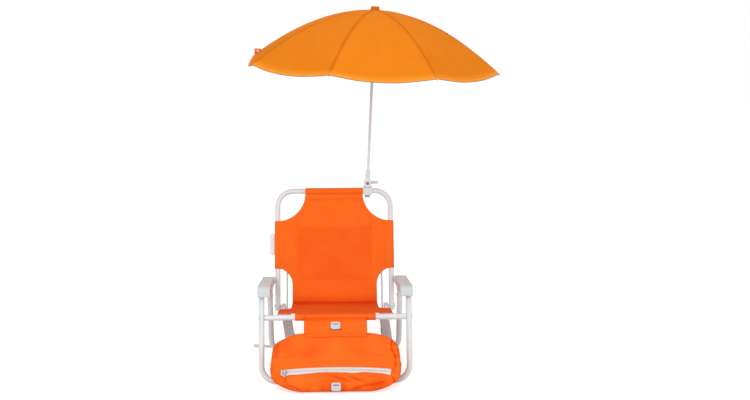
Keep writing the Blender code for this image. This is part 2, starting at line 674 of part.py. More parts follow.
def build_pouch():
    """Pillow-shaped pouch that leans forward from the seat's front bar down to the floor."""
    stations = [(-x, size) for x, size in reversed(POUCH_STATION_SHARES[1:])] + list(POUCH_STATION_SHARES)
    work = bmesh.new()
    rows = []
    middle_y, middle_z = POUCH_CENTRE_SHARES
    for x_share, size in stations:
        row = []
        for y_share, z_share in POUCH_OUTLINE_SHARES:
            y = middle_y + (y_share - middle_y) * size
            z = middle_z + (z_share - middle_z) * size
            place = (x_share * POUCH_HALF_WIDTH, POUCH_BACK - y * POUCH_DEPTH, z * POUCH_HEIGHT)
            row.append(work.verts.new(place))
        rows.append(row)
    count = len(POUCH_OUTLINE_SHARES)
    for row, after in zip(rows, rows[1:]):
        for i in range(count):
            j = (i + 1) % count
            work.faces.new((row[i], row[j], after[j], after[i]))
    work.faces.new(rows[0][::-1])
    work.faces.new(rows[-1])
    bmesh.ops.recalc_face_normals(work, faces=work.faces)
    mesh = bpy.data.meshes.new("pouch")
    work.to_mesh(mesh)
    work.free()
    pouch = add_object("pouch", mesh, "chair_cloth")
    subdivide = pouch.modifiers.new("softening", "SUBSURF")
    subdivide.levels = subdivide.render_levels = 2
    mesh.shade_smooth()
    return pouch


def on_surface(obj, point):
    """The nearest place on an object's surface and the direction out of it there."""
    graph = bpy.context.evaluated_depsgraph_get()
    place = obj.matrix_world
    found = obj.evaluated_get(graph).closest_point_on_mesh(place.inverted() @ Vector(point))
    return place @ found[1], (place.to_3x3() @ found[2]).normalized()


def facing(obj, point, gap):
    """A place on the surface whose local Z points out of it and whose local X runs across the chair."""
    bpy.context.view_layer.update()
    spot, out = on_surface(obj, point)
    along = Vector((1, 0, 0))
    along = (along - out * along.dot(out)).normalized()
    turn = Matrix((along, out.cross(along), out)).transposed().to_4x4()
    return Matrix.Translation(spot + out * gap) @ turn


def zipper_height(x):
    """The zipper's height above the floor: it rises a little towards the middle."""
    return ZIPPER_HEIGHT - ZIPPER_SAG * (x / ZIPPER_HALF_LENGTH) ** 2


def build_zipper(pouch):
    """Zipper tape laid over the pouch's face, with its slider and pull at the left end."""
    mesh = bpy.data.meshes.new("zipper_tape")
    work = bmesh.new()
    bmesh.ops.create_grid(work, x_segments=ZIPPER_STEPS, y_segments=ZIPPER_ROWS, size=1)
    face = POUCH_BACK - POUCH_DEPTH
    for vertex in work.verts:
        x, up = vertex.co.x * ZIPPER_HALF_LENGTH, vertex.co.y * ZIPPER_WIDTH / 2
        vertex.co = (x, face + up, zipper_height(x) + up)
    work.to_mesh(mesh)
    work.free()
    tape = add_object("zipper_tape", mesh, "zipper_cloth")
    wrap = tape.modifiers.new("laid on", "SHRINKWRAP")
    wrap.target = pouch
    wrap.wrap_method = "NEAREST_SURFACEPOINT"
    wrap.wrap_mode = "ABOVE_SURFACE"
    wrap.offset = SEAT_GAP
    solidify = tape.modifiers.new("thickness", "SOLIDIFY")
    solidify.thickness = TRIM_THICKNESS
    solidify.offset = 1
    x = -(ZIPPER_HALF_LENGTH - SLIDER_LENGTH)
    spot = facing(pouch, (x, face, zipper_height(x)), SEAT_GAP + TRIM_THICKNESS + SLIDER_GAP)
    body = block("zip_slider", (SLIDER_LENGTH, SLIDER_WIDTH, SLIDER_HEIGHT), "dark_steel",
                 spot @ Matrix.Translation((0, 0, SLIDER_HEIGHT / 2)))
    bevel(body, TRIM_THICKNESS / 2)
    outline = rounded([(-PULL_WIDTH / 2, 0, 0), (PULL_WIDTH / 2, 0, 0), (PULL_WIDTH / 2, -PULL_LENGTH, 0),
                       (-PULL_WIDTH / 2, -PULL_LENGTH, 0)], PULL_CORNER_RADIUS, True)
    lift = SLIDER_HEIGHT + SEAT_GAP + PULL_THICKNESS / 2
    hang = spot @ Matrix.Translation((0, PULL_WIDTH / 2, lift))
    plate("zip_pull", outline, PULL_THICKNESS, "dark_steel", hang)
    return tape


def buckle_outline():
    """Rounded rectangle of a side-release buckle."""
    w, h = BUCKLE_WIDTH / 2, BUCKLE_HEIGHT / 2
    return rounded([(-w, -h, 0), (w, -h, 0), (w, h, 0), (-w, h, 0)], BUCKLE_THICKNESS, True, 3)


def build_buckle(name, place):
    """One half of the pouch's buckle, with a slot for its webbing."""
    half = BUCKLE_WIDTH * SLOT_WIDTH_SHARE / 2
    low, high = BUCKLE_HEIGHT * SLOT_LOW_SHARE, BUCKLE_HEIGHT * SLOT_HIGH_SHARE
    slot = [(-half, low), (half, low), (half, high), (-half, high)]
    buckle = plate(name, buckle_outline(), BUCKLE_THICKNESS, "grey_plastic", place, [slot])
    return bevel(buckle, TRIM_THICKNESS / 2, 1)


def build_soft_trim(pouch):
    """Neck of the pouch, the two buckle halves, the straps behind the seat and the plain side tag."""
    neck_top = SEAT_PLACE @ Vector((0, -SLEEVE_OUTER - CLOTH, 0))
    top, out = on_surface(pouch, (0, POUCH_BACK - POUCH_DEPTH * NECK_LANDING_SHARE, 2 * POUCH_HEIGHT))
    low = top + out * (CLOTH + SEAT_GAP)
    neck_path = [(p.y, p.z) for p in (neck_top, low)]
    neck = ribbon("pouch_neck", neck_path, 2 * NECK_HALF_WIDTH, CLOTH, "chair_cloth")
    half = BUCKLE_THICKNESS / 2
    middle = (neck_top + low) / 2
    build_buckle("buckle_upper", facing(neck, middle - Vector((0, CUT_OVERRUN, 0)), half + SEAT_GAP))
    low_point = (0, POUCH_BACK - POUCH_DEPTH - CUT_OVERRUN, LOWER_BUCKLE_OFFSET)
    build_buckle("buckle_lower", facing(pouch, low_point, half + SEAT_GAP))
    lift = SEAT_GAP + STRAP_THICKNESS / 2
    start = BACK_PLACE @ Vector((0, lift - SLEEVE_INNER, STRAP_TOP))
    leave = BACK_PLACE @ Vector((0, lift - SLEEVE_INNER, STRAP_TOP - STRAP_SEWN_LENGTH))
    swing = start + Vector((0, STRAP_SWING, -STRAP_TOP / 2))
    foot = Vector((0, BACK_PIVOT.y + STRAP_SWING / 2, STRAP_FLOOR_GAP))
    end = SEAT_DEPTH - STRAP_SWING
    arrive = SEAT_PLACE @ Vector((0, end, -SLEEVE_OUTER - lift))
    front = Vector((0, arrive.y, STRAP_FLOOR_GAP))
    last = SEAT_PLACE @ Vector((0, end - STRAP_SEWN_LENGTH, -SLEEVE_OUTER - lift))
    path = [(p.y, p.z) for p in (start, leave, swing, foot, front, arrive, last)]
    radii = [0, STRAP_BEND, STRAP_BEND, STRAP_BEND, STRAP_BEND, STRAP_END_BEND, 0]
    for side, word in ((-1, "left"), (1, "right")):
        x = side * STRAP_HALF_SPACING
        ribbon(f"strap_{word}", path, STRAP_WIDTH, STRAP_THICKNESS, "webbing", x, radii)
    x = -(BACK_HALF_WIDTH + SLEEVE_OUTER + SEAT_GAP + TAG_WIDTH / 2)
    block("side_tag", (TAG_WIDTH, TAG_THICKNESS, TAG_HEIGHT), "tag_cloth",
          BACK_PLACE @ Matrix.Translation((x, 0, TAG_LOW + TAG_HEIGHT / 2)))


def lobed_outline(diameter, lobes, share):
    """Outline of a knob with rounded lobes."""
    count = lobes * CORNER_STEPS
    points = []
    for i in range(count):
        turn = 2 * pi * i / count
        radius = diameter / 2 * (1 - share + share * cos(lobes * turn))
        points.append((radius * cos(turn), radius * sin(turn), 0))
    return points


def build_clamp():
    """Split block round the back's top bar with an ear on top, and the thumb screw that closes it."""
    depth = CLAMP_FRONT + CLAMP_BACK
    centre = Matrix.Translation((CLAMP_X, TOP_BAR.y, TOP_BAR.z))
    body = block("clamp_body", (CLAMP_WIDTH, depth, CLAMP_HEIGHT), "white_paint",
                 centre @ Matrix.Translation((0, (CLAMP_BACK - CLAMP_FRONT) / 2, 0)))
    bevel(body, CLAMP_EDGE_RADIUS)
    ear_middle = SEAT_GAP + EAR_THICKNESS / 2
    neck = block("ear_neck", (KNUCKLE_DIAMETER / 2, EAR_THICKNESS, KNUCKLE_RISE), None,
                 centre @ Matrix.Translation((0, ear_middle, KNUCKLE_RISE / 2)))
    boolean(body, neck, "UNION")
    lay = Matrix.Rotation(-pi / 2, 4, "X")
    disc_place = Matrix.Translation(KNUCKLE) @ lay
    ear = cylinder("ear", KNUCKLE_DIAMETER, SEAT_GAP, SEAT_GAP + EAR_THICKNESS, None, disc_place)
    boolean(body, ear, "UNION")
    bore = 2 * (TUBE_RADIUS + SEAT_GAP)
    boolean(body, cylinder("bar_bore", bore, -CLAMP_WIDTH, CLAMP_WIDTH, None, across(centre.translation)))
    slot = (2 * CLAMP_WIDTH, CLAMP_BACK + CUT_OVERRUN, CLAMP_SLOT)
    slot_place = centre @ Matrix.Translation((0, slot[1] / 2, 0))
    boolean(body, block("clamp_slot", slot, None, slot_place))
    screw_y = (CLAMP_BACK + TUBE_RADIUS) / 2
    screw_place = centre @ Matrix.Translation((0, screw_y, 0))
    top = CLAMP_HEIGHT / 2 - CLAMP_EDGE_RADIUS
    low = -CLAMP_HEIGHT / 2
    reach = 2 * KNUCKLE_DIAMETER
    boolean(body, cylinder("screw_hole", HOLE_DIAMETER, low - CUT_OVERRUN, top, None, screw_place))
    boolean(body, cylinder("tilt_hole", HOLE_DIAMETER, -reach, reach, None, disc_place))
    knob_place = screw_place @ Matrix.Translation((0, 0, low - SEAT_GAP - KNOB_LENGTH / 2))
    outline = lobed_outline(KNOB_DIAMETER, KNOB_LOBES, KNOB_LOBE_SHARE)
    knob = plate("clamp_screw", outline, KNOB_LENGTH, "grey_plastic", knob_place)
    bevel(knob, CLAMP_EDGE_RADIUS / 2)
    shank = cylinder("screw_shank", BOLT_DIAMETER, low - KNOB_LENGTH / 2, top - SEAT_GAP, None, screw_place)
    boolean(knob, shank, "UNION")
    return body


def build_knuckle():
    """Front ear with the socket for the pole, the screw through both ears and the locking lever behind."""
    lay = Matrix.Rotation(-pi / 2, 4, "X")
    disc_place = Matrix.Translation(KNUCKLE) @ lay
    face = -SEAT_GAP - EAR_THICKNESS
    knuckle = cylinder("knuckle", KNUCKLE_DIAMETER, face, -SEAT_GAP, "white_paint", disc_place)
    start = KNUCKLE_DIAMETER / 2 + SEAT_GAP
    web_low = KNUCKLE_DIAMETER / 4
    web_high = start + EAR_THICKNESS / 2
    web = block("socket_web", (SOCKET_DIAMETER, EAR_THICKNESS, web_high - web_low), None,
                POLE_PLACE @ Matrix.Translation((0, -SEAT_GAP - EAR_THICKNESS / 2, (web_low + web_high) / 2)))
    boolean(knuckle, web, "UNION")
    boolean(knuckle, cylinder("socket", SOCKET_DIAMETER, start, SOCKET_END, None, POLE_PLACE), "UNION")
    bore = POLE_DIAMETER + 2 * SEAT_GAP
    floor = SOCKET_END - POLE_SEAT_DEPTH - SEAT_GAP
    boolean(knuckle, cylinder("pole_bore", bore, floor, SOCKET_END + CUT_OVERRUN, None, POLE_PLACE))
    reach = 2 * KNUCKLE_DIAMETER
    boolean(knuckle, cylinder("tilt_hole", HOLE_DIAMETER, -reach, reach, None, disc_place))
    front = SEAT_GAP + EAR_THICKNESS + SEAT_GAP
    back = front + LEVER_THICKNESS
    head, shank = TILT_SCREW_HEAD_DIAMETER / 2, BOLT_DIAMETER / 2
    top = -front - HEAD_HEIGHT
    profile = [(0, back), (shank, back), (shank, -front), (head, -front), (head * cos(pi / 5), top), (0, top)]
    turned("tilt_screw", profile, "dark_steel", disc_place, TURNED_STEPS // 2)
    half = LEVER_WIDTH / 2
    gap = asin(half / (KNUCKLE_DIAMETER / 4))
    outline = ring(KNUCKLE_DIAMETER / 4, (0, 0), SLEEVE_STEPS, gap, 2 * pi - 2 * gap, True)
    outline += ring(half, (LEVER_REACH - half, 0), SLEEVE_STEPS // 2, -pi / 2, pi, True)
    hole = ring(HOLE_DIAMETER / 2, (0, 0), TURNED_STEPS // 2)
    lever_place = disc_place @ Matrix.Translation((0, 0, (front + back) / 2))
    lever = plate("tilt_lever", outline, LEVER_THICKNESS, "grey_plastic", lever_place, [hole])
    bevel(lever, TRIM_THICKNESS / 2, 1)
    return knuckle


def canopy_point(angle, share):
    """A place on the canopy's cloth: angle round the pole, and share of the way from the pole to the hem."""
    gore = 2 * pi / RIB_COUNT
    along = ((angle - FIRST_RIB_ANGLE) % gore) / gore
    arch = 4 * along * (1 - along)
    radius = CANOPY_RADIUS * share - VALLEY_DEPTH * arch * share ** 2
    drop = CANOPY_RISE * share ** CANOPY_SHAPE_POWER + HEM_SAG * arch * share ** 4
    return Vector((radius * cos(angle), radius * sin(angle), CROWN_LEVEL - drop))


def build_canopy():
    """Cloth dome in gores: each hem bellies down between the rib tips."""
    columns = RIB_COUNT * GORE_STEPS
    inner = (POLE_RADIUS + 2 * SEAT_GAP) / CANOPY_RADIUS
    work = bmesh.new()
    rows = []
    for ring_number in range(CANOPY_RINGS + 1):
        share = inner + (1 - inner) * (ring_number / CANOPY_RINGS)
        rows.append([
            work.verts.new(canopy_point(FIRST_RIB_ANGLE + 2 * pi * column / columns, share))
            for column in range(columns)
        ])
    for row, outer in zip(rows, rows[1:]):
        for i in range(columns):
            j = (i + 1) % columns
            work.faces.new((row[i], outer[i], outer[j], row[j]))
    mesh = bpy.data.meshes.new("canopy")
    work.to_mesh(mesh)
    work.free()
    canopy = add_object("canopy", mesh, "canopy_cloth", POLE_PLACE)
    solidify = canopy.modifiers.new("thickness", "SOLIDIFY")
    solidify.thickness = CANOPY_THICKNESS
    solidify.offset = 0
    mesh.shade_smooth()
    return canopy


def rib_level(radius):
    """The height of a rib's centre line under the cloth, at a distance from the pole."""
    share = radius / CANOPY_RADIUS
    under = CANOPY_THICKNESS / 2 + RIB_DIAMETER / 2 + RUNNING_CLEARANCE
    slope = CANOPY_RISE * CANOPY_SHAPE_POWER * share ** (CANOPY_SHAPE_POWER - 1) / CANOPY_RADIUS
    return CROWN_LEVEL - CANOPY_RISE * share ** CANOPY_SHAPE_POWER - under * hypot(1, slope)


def notched(obj, level, height, radius, inner, width):
    """Cuts one radial slot for each rib or stretcher out of a round piece."""
    for i in range(RIB_COUNT):
        turn = Matrix.Rotation(FIRST_RIB_ANGLE + 2 * pi * i / RIB_COUNT, 4, "Z")
        reach = radius + CUT_OVERRUN - inner
        place = POLE_PLACE @ turn @ Matrix.Translation((inner + reach / 2, 0, level))
        boolean(obj, block(f"{obj.name}_notch", (reach, width, height), None, place))


def build_pole():
    """Pole from the socket up through the cloth into its cap, with the crown that carries the ribs."""
    start = SOCKET_END - POLE_SEAT_DEPTH
    end = CROWN_LEVEL + CROWN_CAP_HEIGHT / 2
    cylinder("pole", POLE_DIAMETER, start, end, "white_paint", POLE_PLACE, TURNED_STEPS // 2)
    bore = POLE_RADIUS + SEAT_GAP
    base = CROWN_LEVEL + CANOPY_THICKNESS
    rim, cap = CROWN_DIAMETER / 2, CROWN_CAP_HEIGHT
    profile = [(0, base + cap)]
    profile += [(rim * sin(a * pi / 12), base + cap * cos(a * pi / 12)) for a in range(1, 6)]
    profile += [(rim, base), (bore, base), (bore, end + SEAT_GAP), (0, end + SEAT_GAP)]
    turned("top_cap", profile, "grey_plastic", POLE_PLACE)
    top = rib_level(rim) + RIB_DIAMETER / 2
    low = top - CROWN_HEIGHT
    profile = [(bore, top), (rim, top), (rim, low), (bore, low), (bore, top)]
    crown = turned("crown", profile, "grey_plastic", POLE_PLACE)
    inner = RIB_ROOT_RADIUS - RIB_DIAMETER / 2 - RUNNING_CLEARANCE
    notched(crown, (top + low) / 2, 2 * CROWN_HEIGHT, rim, inner, NOTCH_WIDTH)


def runner_level():
    """The height of the stretchers' pivots on the runner, with the umbrella open."""
    return CROWN_LEVEL - RUNNER_DROP


def build_runner():
    """Sleeve that slides on the pole, with a slotted flange for the stretchers."""
    bore = POLE_RADIUS + RUNNING_CLEARANCE
    middle = runner_level()
    top = middle + RUNNER_FLANGE_HEIGHT / 2
    flange_low = top - RUNNER_FLANGE_HEIGHT
    low = top - RUNNER_HEIGHT
    body, flange = RUNNER_DIAMETER / 2, RUNNER_FLANGE_DIAMETER / 2
    profile = [(bore, top), (flange, top), (flange, flange_low), (body, flange_low), (body, low), (bore, low),
               (bore, top)]
    runner = turned("runner", profile, "grey_plastic", POLE_PLACE)
    inner = RIB_ROOT_RADIUS - STRETCHER_DIAMETER / 2 - RUNNING_CLEARANCE
    notched(runner, middle, 2 * RUNNER_FLANGE_HEIGHT, flange, inner, NOTCH_WIDTH)


def build_ribs():
    """Eight bowed ribs under the cloth, and the stretcher beside each one that props it from the runner."""
    end = CANOPY_RADIUS + RIB_TIP_REACH
    steps = 2 * CORNER_STEPS
    radii = [RIB_ROOT_RADIUS + (end - RIB_ROOT_RADIUS) * i / steps for i in range(steps + 1)]
    hinge = Vector((RIB_ROOT_RADIUS, 0, rib_level(RIB_ROOT_RADIUS)))
    foot = Vector((RIB_ROOT_RADIUS, 0, runner_level()))
    path = [Vector((radius, 0, rib_level(radius))) - hinge for radius in radii]
    beside = (RIB_DIAMETER + STRETCHER_DIAMETER) / 2 + STRETCHER_SIDE_GAP
    prop = [Vector(), Vector((RIB_JOINT_RADIUS, beside, rib_level(RIB_JOINT_RADIUS))) - foot]
    for i in range(RIB_COUNT):
        place = POLE_PLACE @ Matrix.Rotation(FIRST_RIB_ANGLE + 2 * pi * i / RIB_COUNT, 4, "Z")
        tube(f"rib_{i + 1}", path, RIB_DIAMETER, "steel", place @ Matrix.Translation(hinge), ROD_ROUNDNESS)
        foot_place = place @ Matrix.Translation(foot)
        tube(f"stretcher_{i + 1}", prop, STRETCHER_DIAMETER, "steel", foot_place, ROD_ROUNDNESS)


def build():
    """Makes every piece of the chair, its pouch and its umbrella."""
    build_seat_frame()
    build_back_frame()
    build_front_legs()
    build_rear_legs()
    for side, word in ((-1, "left"), (1, "right")):
        build_bracket(side, word)
        build_arm(side, word)
    build_bolts()
    build_back_sling()
    build_seat_sling()
    pouch = build_pouch()
    build_zipper(pouch)
    build_soft_trim(pouch)
    build_clamp()
    build_knuckle()
    build_pole()
    build_runner()
    build_ribs()
    build_canopy()


build()
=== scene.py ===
"""Looks of the kids canopy chair: its cloth, webbing, trim and finishes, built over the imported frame.

The sling is made as taut sheets with their sleeves and stitches, and the pouch as a soft shell.
The umbrella's cloth is one curved sheet in eight gores, whose halves go with their ribs.
"""

import logging
from dataclasses import dataclass, field
from enum import Enum
from math import cos, pi, radians, sin

import bmesh
import bpy
import numpy as np
from mathutils import Matrix, Vector
from mathutils.bvhtree import BVHTree


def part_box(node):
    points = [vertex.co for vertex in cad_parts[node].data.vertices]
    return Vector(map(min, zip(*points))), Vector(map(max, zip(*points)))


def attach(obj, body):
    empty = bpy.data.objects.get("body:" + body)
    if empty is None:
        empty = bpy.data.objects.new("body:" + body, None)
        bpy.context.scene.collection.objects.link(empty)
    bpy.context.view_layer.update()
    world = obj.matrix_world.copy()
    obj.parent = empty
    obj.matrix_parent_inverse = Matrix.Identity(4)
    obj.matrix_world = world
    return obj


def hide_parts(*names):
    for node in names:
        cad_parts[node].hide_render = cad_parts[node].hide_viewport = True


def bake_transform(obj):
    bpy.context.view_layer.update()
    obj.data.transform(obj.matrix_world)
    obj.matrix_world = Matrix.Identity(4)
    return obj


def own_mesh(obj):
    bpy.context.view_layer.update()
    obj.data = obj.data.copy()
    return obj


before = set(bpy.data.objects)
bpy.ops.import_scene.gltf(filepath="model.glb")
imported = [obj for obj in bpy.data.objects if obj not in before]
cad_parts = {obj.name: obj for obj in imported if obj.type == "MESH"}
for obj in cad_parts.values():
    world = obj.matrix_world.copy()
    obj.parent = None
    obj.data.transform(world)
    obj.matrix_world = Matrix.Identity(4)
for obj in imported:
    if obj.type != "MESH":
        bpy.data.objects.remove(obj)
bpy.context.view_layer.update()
LOG = logging.getLogger("kids_canopy_chair")

# What a mesh keeps for each of its points: where it is on the flat cloth, and how dark the cloth is there,
# which carries its seams and panels and also painted shade in creases and folds, with painted highlight where
# it is below 0
PLACE = "cloth_place"
SHADE = "cloth_shade"

# Sizes in metres of the tubes, and of the cloth that goes round them
TUBE_RADIUS = 0.0075
SEAT_HALF_WIDTH = 0.1435
BACK_HALF_WIDTH = 0.1591
SLEEVE_RADIUS = 0.0087
CLOTH = 0.0008
SEAT_DEPTH = 0.270

# Frames of the seat, from the middle of its front bar, of the back, from its pivots, and of the pole,
# from its foot
SEAT_PLACE = Matrix.Translation((0, 0.055724, 0.160)) @ Matrix.Rotation(radians(-10), 4, "X")
BACK_PLACE = Matrix.Translation((0, 0.321622, 0.113115)) @ Matrix.Rotation(radians(-20), 4, "X")
POLE_PLACE = Matrix.Translation((0.0955, 0.432778, 0.441015)) @ Matrix.Rotation(radians(2.5), 4, "Y")

# The back's frame turned as the seat's frame lies: y runs up the uprights and z comes out of the front
BACK_FRONT = BACK_PLACE @ Matrix.Rotation(radians(90), 4, "X")


class Slot(Enum):
    """The record's material slots that this object's pieces take their finish from."""

    WHITE_PAINT = "white_paint"
    GREY_PLASTIC = "grey_plastic"
    DARK_STEEL = "dark_steel"
    STEEL = "steel"
    CHAIR_CLOTH = "chair_cloth"
    CANOPY_CLOTH = "canopy_cloth"
    WEBBING = "webbing"
    ZIPPER_CLOTH = "zipper_cloth"
    TAG_CLOTH = "tag_cloth"


class Value:
    """A number that changes over a surface, in a node tree. Sums on it add Math nodes."""

    def __init__(self, nodes: "Nodes", socket: bpy.types.NodeSocket) -> None:
        """Keeps the socket that carries the number, and what adds nodes to its tree."""
        self.nodes = nodes
        self.socket = socket

    def math(self, operation: str, *others: "Value | float") -> "Value":
        """One Math node, whose sockets take the others in their order."""
        return self.nodes.node("ShaderNodeMath", {"operation": operation}, dict(enumerate(others)))

    def __add__(self, other: "Value | float") -> "Value":
        """This plus another."""
        return self.math("ADD", self, other)

    __radd__ = __add__

    def __mul__(self, other: "Value | float") -> "Value":
        """This times another."""
        return self.math("MULTIPLY", self, other)

    __rmul__ = __mul__

    def __sub__(self, other: "Value | float") -> "Value":
        """This less another."""
        return self.math("SUBTRACT", self, other)

    def __rsub__(self, other: "Value | float") -> "Value":
        """Another less this."""
        return self.math("SUBTRACT", other, self)

    def wave(self, pitch: float) -> "Value":
        """A wave over this number, from -1 to 1, that repeats with the pitch."""
        return self.math("SINE", self * (2 * pi / pitch))

    def between(self, low: float, high: float) -> "Value":
        """0 below low, 1 above high and smooth between them."""
        inputs = {"Value": self, "From Min": low, "From Max": high}
        return self.nodes.node("ShaderNodeMapRange", {"interpolation_type": "SMOOTHSTEP"}, inputs)


class Nodes:
    """Adds nodes to one node tree."""

    def __init__(self, tree: bpy.types.NodeTree) -> None:
        """Keeps the tree."""
        self.tree = tree

    def node(self, kind: str, settings: dict, inputs: dict, output: int | str = 0) -> Value:
        """Adds one node.

        Args:
            kind: the node's type.
            settings: its settings, which are set before its sockets.
            inputs: socket name or number, to a Value, a number or a tuple.
            output: which of its outputs is used.

        Returns:
            That output.
        """
        node = self.tree.nodes.new(kind)
        for setting, value in settings.items():
            setattr(node, setting, value)
        for place, value in inputs.items():
            if isinstance(value, Value):
                self.tree.links.new(value.socket, node.inputs[place])
            else:
                node.inputs[place].default_value = value
        return Value(self, node.outputs[output])

    def seen(self) -> Value:
        """Where the camera, a reflection or a clear view meets the surface.

        Returns:
            1 there, and 0 for the rest.
        """
        outputs = self.node("ShaderNodeLightPath", {}, {}).socket.node.outputs
        rays = ("Is Camera Ray", "Is Glossy Ray", "Is Transmission Ray")
        camera, glossy, clear = (Value(self, outputs[ray]) for ray in rays)
        return camera + glossy + clear


class Painter(Nodes):
    """Builds one material: a Principled shader, and the nodes that feed it."""

    def __init__(self, name: str, fixed: dict) -> None:
        """A new material.

        Args:
            name: its name.
            fixed: the values set on the shader's own sockets, by the sockets' names.
        """
        self.material = bpy.data.materials.new(name)
        self.material.use_nodes = True
        super().__init__(self.material.node_tree)
        self.shader = self.tree.nodes["Principled BSDF"]
        for socket, value in fixed.items():
            self.shader.inputs[socket].default_value = value

    def feed(self, name: str, value: Value) -> None:
        """Links a value to one of the shader's sockets."""
        self.tree.links.new(value.socket, self.shader.inputs[name])

    def place(self) -> Value:
        """Places on the solid itself, in metres."""
        return self.node("ShaderNodeTexCoord", {}, {}, "Object")

    def cloth_place(self) -> Value:
        """Places along and across the cloth, in metres, as it was cut."""
        return self.node("ShaderNodeAttribute", {"attribute_name": PLACE}, {}, "Vector")

    def split(self, place: Value) -> list[Value]:
        """The three numbers of a place."""
        first = self.node("ShaderNodeSeparateXYZ", {}, {"Vector": place})
        return [Value(self, output) for output in first.socket.node.outputs]

    def noise(self, place: Value, scale: float, detail: float = 2.0, stretch: tuple = (1, 1, 1)) -> Value:
        """Soft random blotches.

        Args:
            place: where on the surface.
            scale: how many there are to a metre.
            detail: how many finer layers are added.
            stretch: how much finer they are along each axis.

        Returns:
            A number about 0.5.
        """
        stretched = self.node("ShaderNodeVectorMath", {"operation": "MULTIPLY"}, {0: place, 1: stretch})
        return self.node("ShaderNodeTexNoise", {}, {"Vector": stretched, "Scale": scale, "Detail": detail})

    def mix(self, factor: Value, first: "tuple | Value", second: "tuple | Value") -> Value:
        """A colour between two: the first where the factor is 0, and the second where it is 1."""
        return self.node("ShaderNodeMix", {"data_type": "RGBA"}, {0: factor, 6: first, 7: second}, 2)

    def bump(self, height: Value, depth: float) -> None:
        """Feeds the shader's normal from a height, of which 1 stands for so many metres."""
        inputs = {"Height": height, "Distance": depth, "Strength": 1.0}
        self.feed("Normal", self.node("ShaderNodeBump", {}, inputs))


def colour(red: float, green: float, blue: float) -> tuple:
    """A colour with its full alpha."""
    return (red, green, blue, 1.0)


def grey(tone: float) -> tuple:
    """A grey with its full alpha."""
    return colour(tone, tone, tone)


@dataclass(frozen=True)
class WovenCloth:
    """Plain-woven cloth: threads, a little slub, soft creases, and a darker tone where its shade mark is up,
    partly its seams and panels and partly painted shade, with a painted highlight where the mark is below 0.
    """

    name: str
    face: tuple
    deep: tuple
    # The lighter colour painted as a highlight where the shade mark is below 0
    painted_highlight: tuple
    thread: float = 0.0009
    roughness: float = 0.88
    crease: float = 0.0018
    crease_scale: float = 20.0
    thread_height: float = 0.00010
    slub_scale: float = 700.0
    blotch_scale: float = 14.0
    gloss: float = 0.08

    def material(self) -> bpy.types.Material:
        """Makes the cloth's material.

        Returns:
            The material.
        """
        painter = Painter(self.name, {"Roughness": self.roughness, "Specular IOR Level": self.gloss})
        place = painter.cloth_place()
        across, along, _ = painter.split(place)
        weave = across.wave(self.thread) * along.wave(self.thread)
        slub = painter.noise(place, self.slub_scale, 1, (1, 0.08, 1))
        slub = slub + painter.noise(place, self.slub_scale, 1, (0.08, 1, 1))
        blotch = painter.noise(place, self.blotch_scale, 3)
        marked = painter.node("ShaderNodeAttribute", {"attribute_name": SHADE}, {}, "Fac")
        tone = marked * 0.75 + (blotch - 0.5) * 0.50 + weave * 0.05 + (slub - 1.0) * 0.20
        darker = painter.mix(tone.between(-0.15, 1.0), self.face, self.deep)
        # The mark darkens towards the deep colour for seams, panels and painted shade, and below 0 lightens
        # to the painted highlight
        painter.feed("Base Color", painter.mix((0.0 - marked).between(0.0, 1.0), darker, self.painted_highlight))
        painter.feed("Roughness", blotch * 0.12 + (self.roughness - 0.06))
        folds = painter.noise(place, self.crease_scale, 2)
        painter.bump(folds + (weave * 0.5 + slub * 0.6) * (self.thread_height / self.crease), self.crease)
        return painter.material


@dataclass(frozen=True)
class BandWebbing:
    """Ribbed webbing: cords along its length and a fine twill across them."""

    name: str
    face: tuple
    deep: tuple
    rib: float = 0.0018
    rib_height: float = 0.0003
    roughness: float = 0.8
    sheen: float = 0.15

    def material(self) -> bpy.types.Material:
        """Makes the webbing's material.

        Returns:
            The material.
        """
        painter = Painter(self.name, {"Roughness": self.roughness, "Sheen Weight": self.sheen})
        place = painter.cloth_place()
        across, along, _ = painter.split(place)
        ribs = across.wave(self.rib)
        twill = (across + along * 0.5).wave(self.rib * 0.6)
        blotch = painter.noise(place, 40, 2)
        tone = ribs * -0.15 + twill * 0.1 + blotch * 0.5 + 0.1
        painter.feed("Base Color", painter.mix(tone.between(0.0, 0.9), self.face, self.deep))
        painter.bump(ribs * 0.4 + twill * 0.2, self.rib_height)
        return painter.material


@dataclass(frozen=True)
class TubePaint:
    """Baked paint on steel tube: a faint orange-peel skin, soft smudges and small scuffs."""

    name: str
    face: tuple
    scuffed: tuple
    roughness: float = 0.34
    coat: float = 0.25
    coat_roughness: float = 0.15
    peel_height: float = 0.00006

    def material(self) -> bpy.types.Material:
        """Makes the paint's material.

        Returns:
            The material.
        """
        coat = {"Coat Weight": self.coat, "Coat Roughness": self.coat_roughness}
        painter = Painter(self.name, {"Roughness": self.roughness, **coat})
        place = painter.place()
        smudge = painter.noise(place, 18, 3)
        scuff = painter.noise(place, 240, 3, (1, 1, 0.25)).between(0.66, 0.76)
        peel = painter.noise(place, 900, 1)
        tone = scuff * 0.55 + smudge.between(0.42, 0.85) * 0.35
        painter.feed("Base Color", painter.mix(tone, self.face, self.scuffed))
        painter.feed("Roughness", smudge * 0.14 + scuff * 0.2 + (self.roughness - 0.07))
        painter.bump(peel + smudge * 0.5, self.peel_height)
        return painter.material


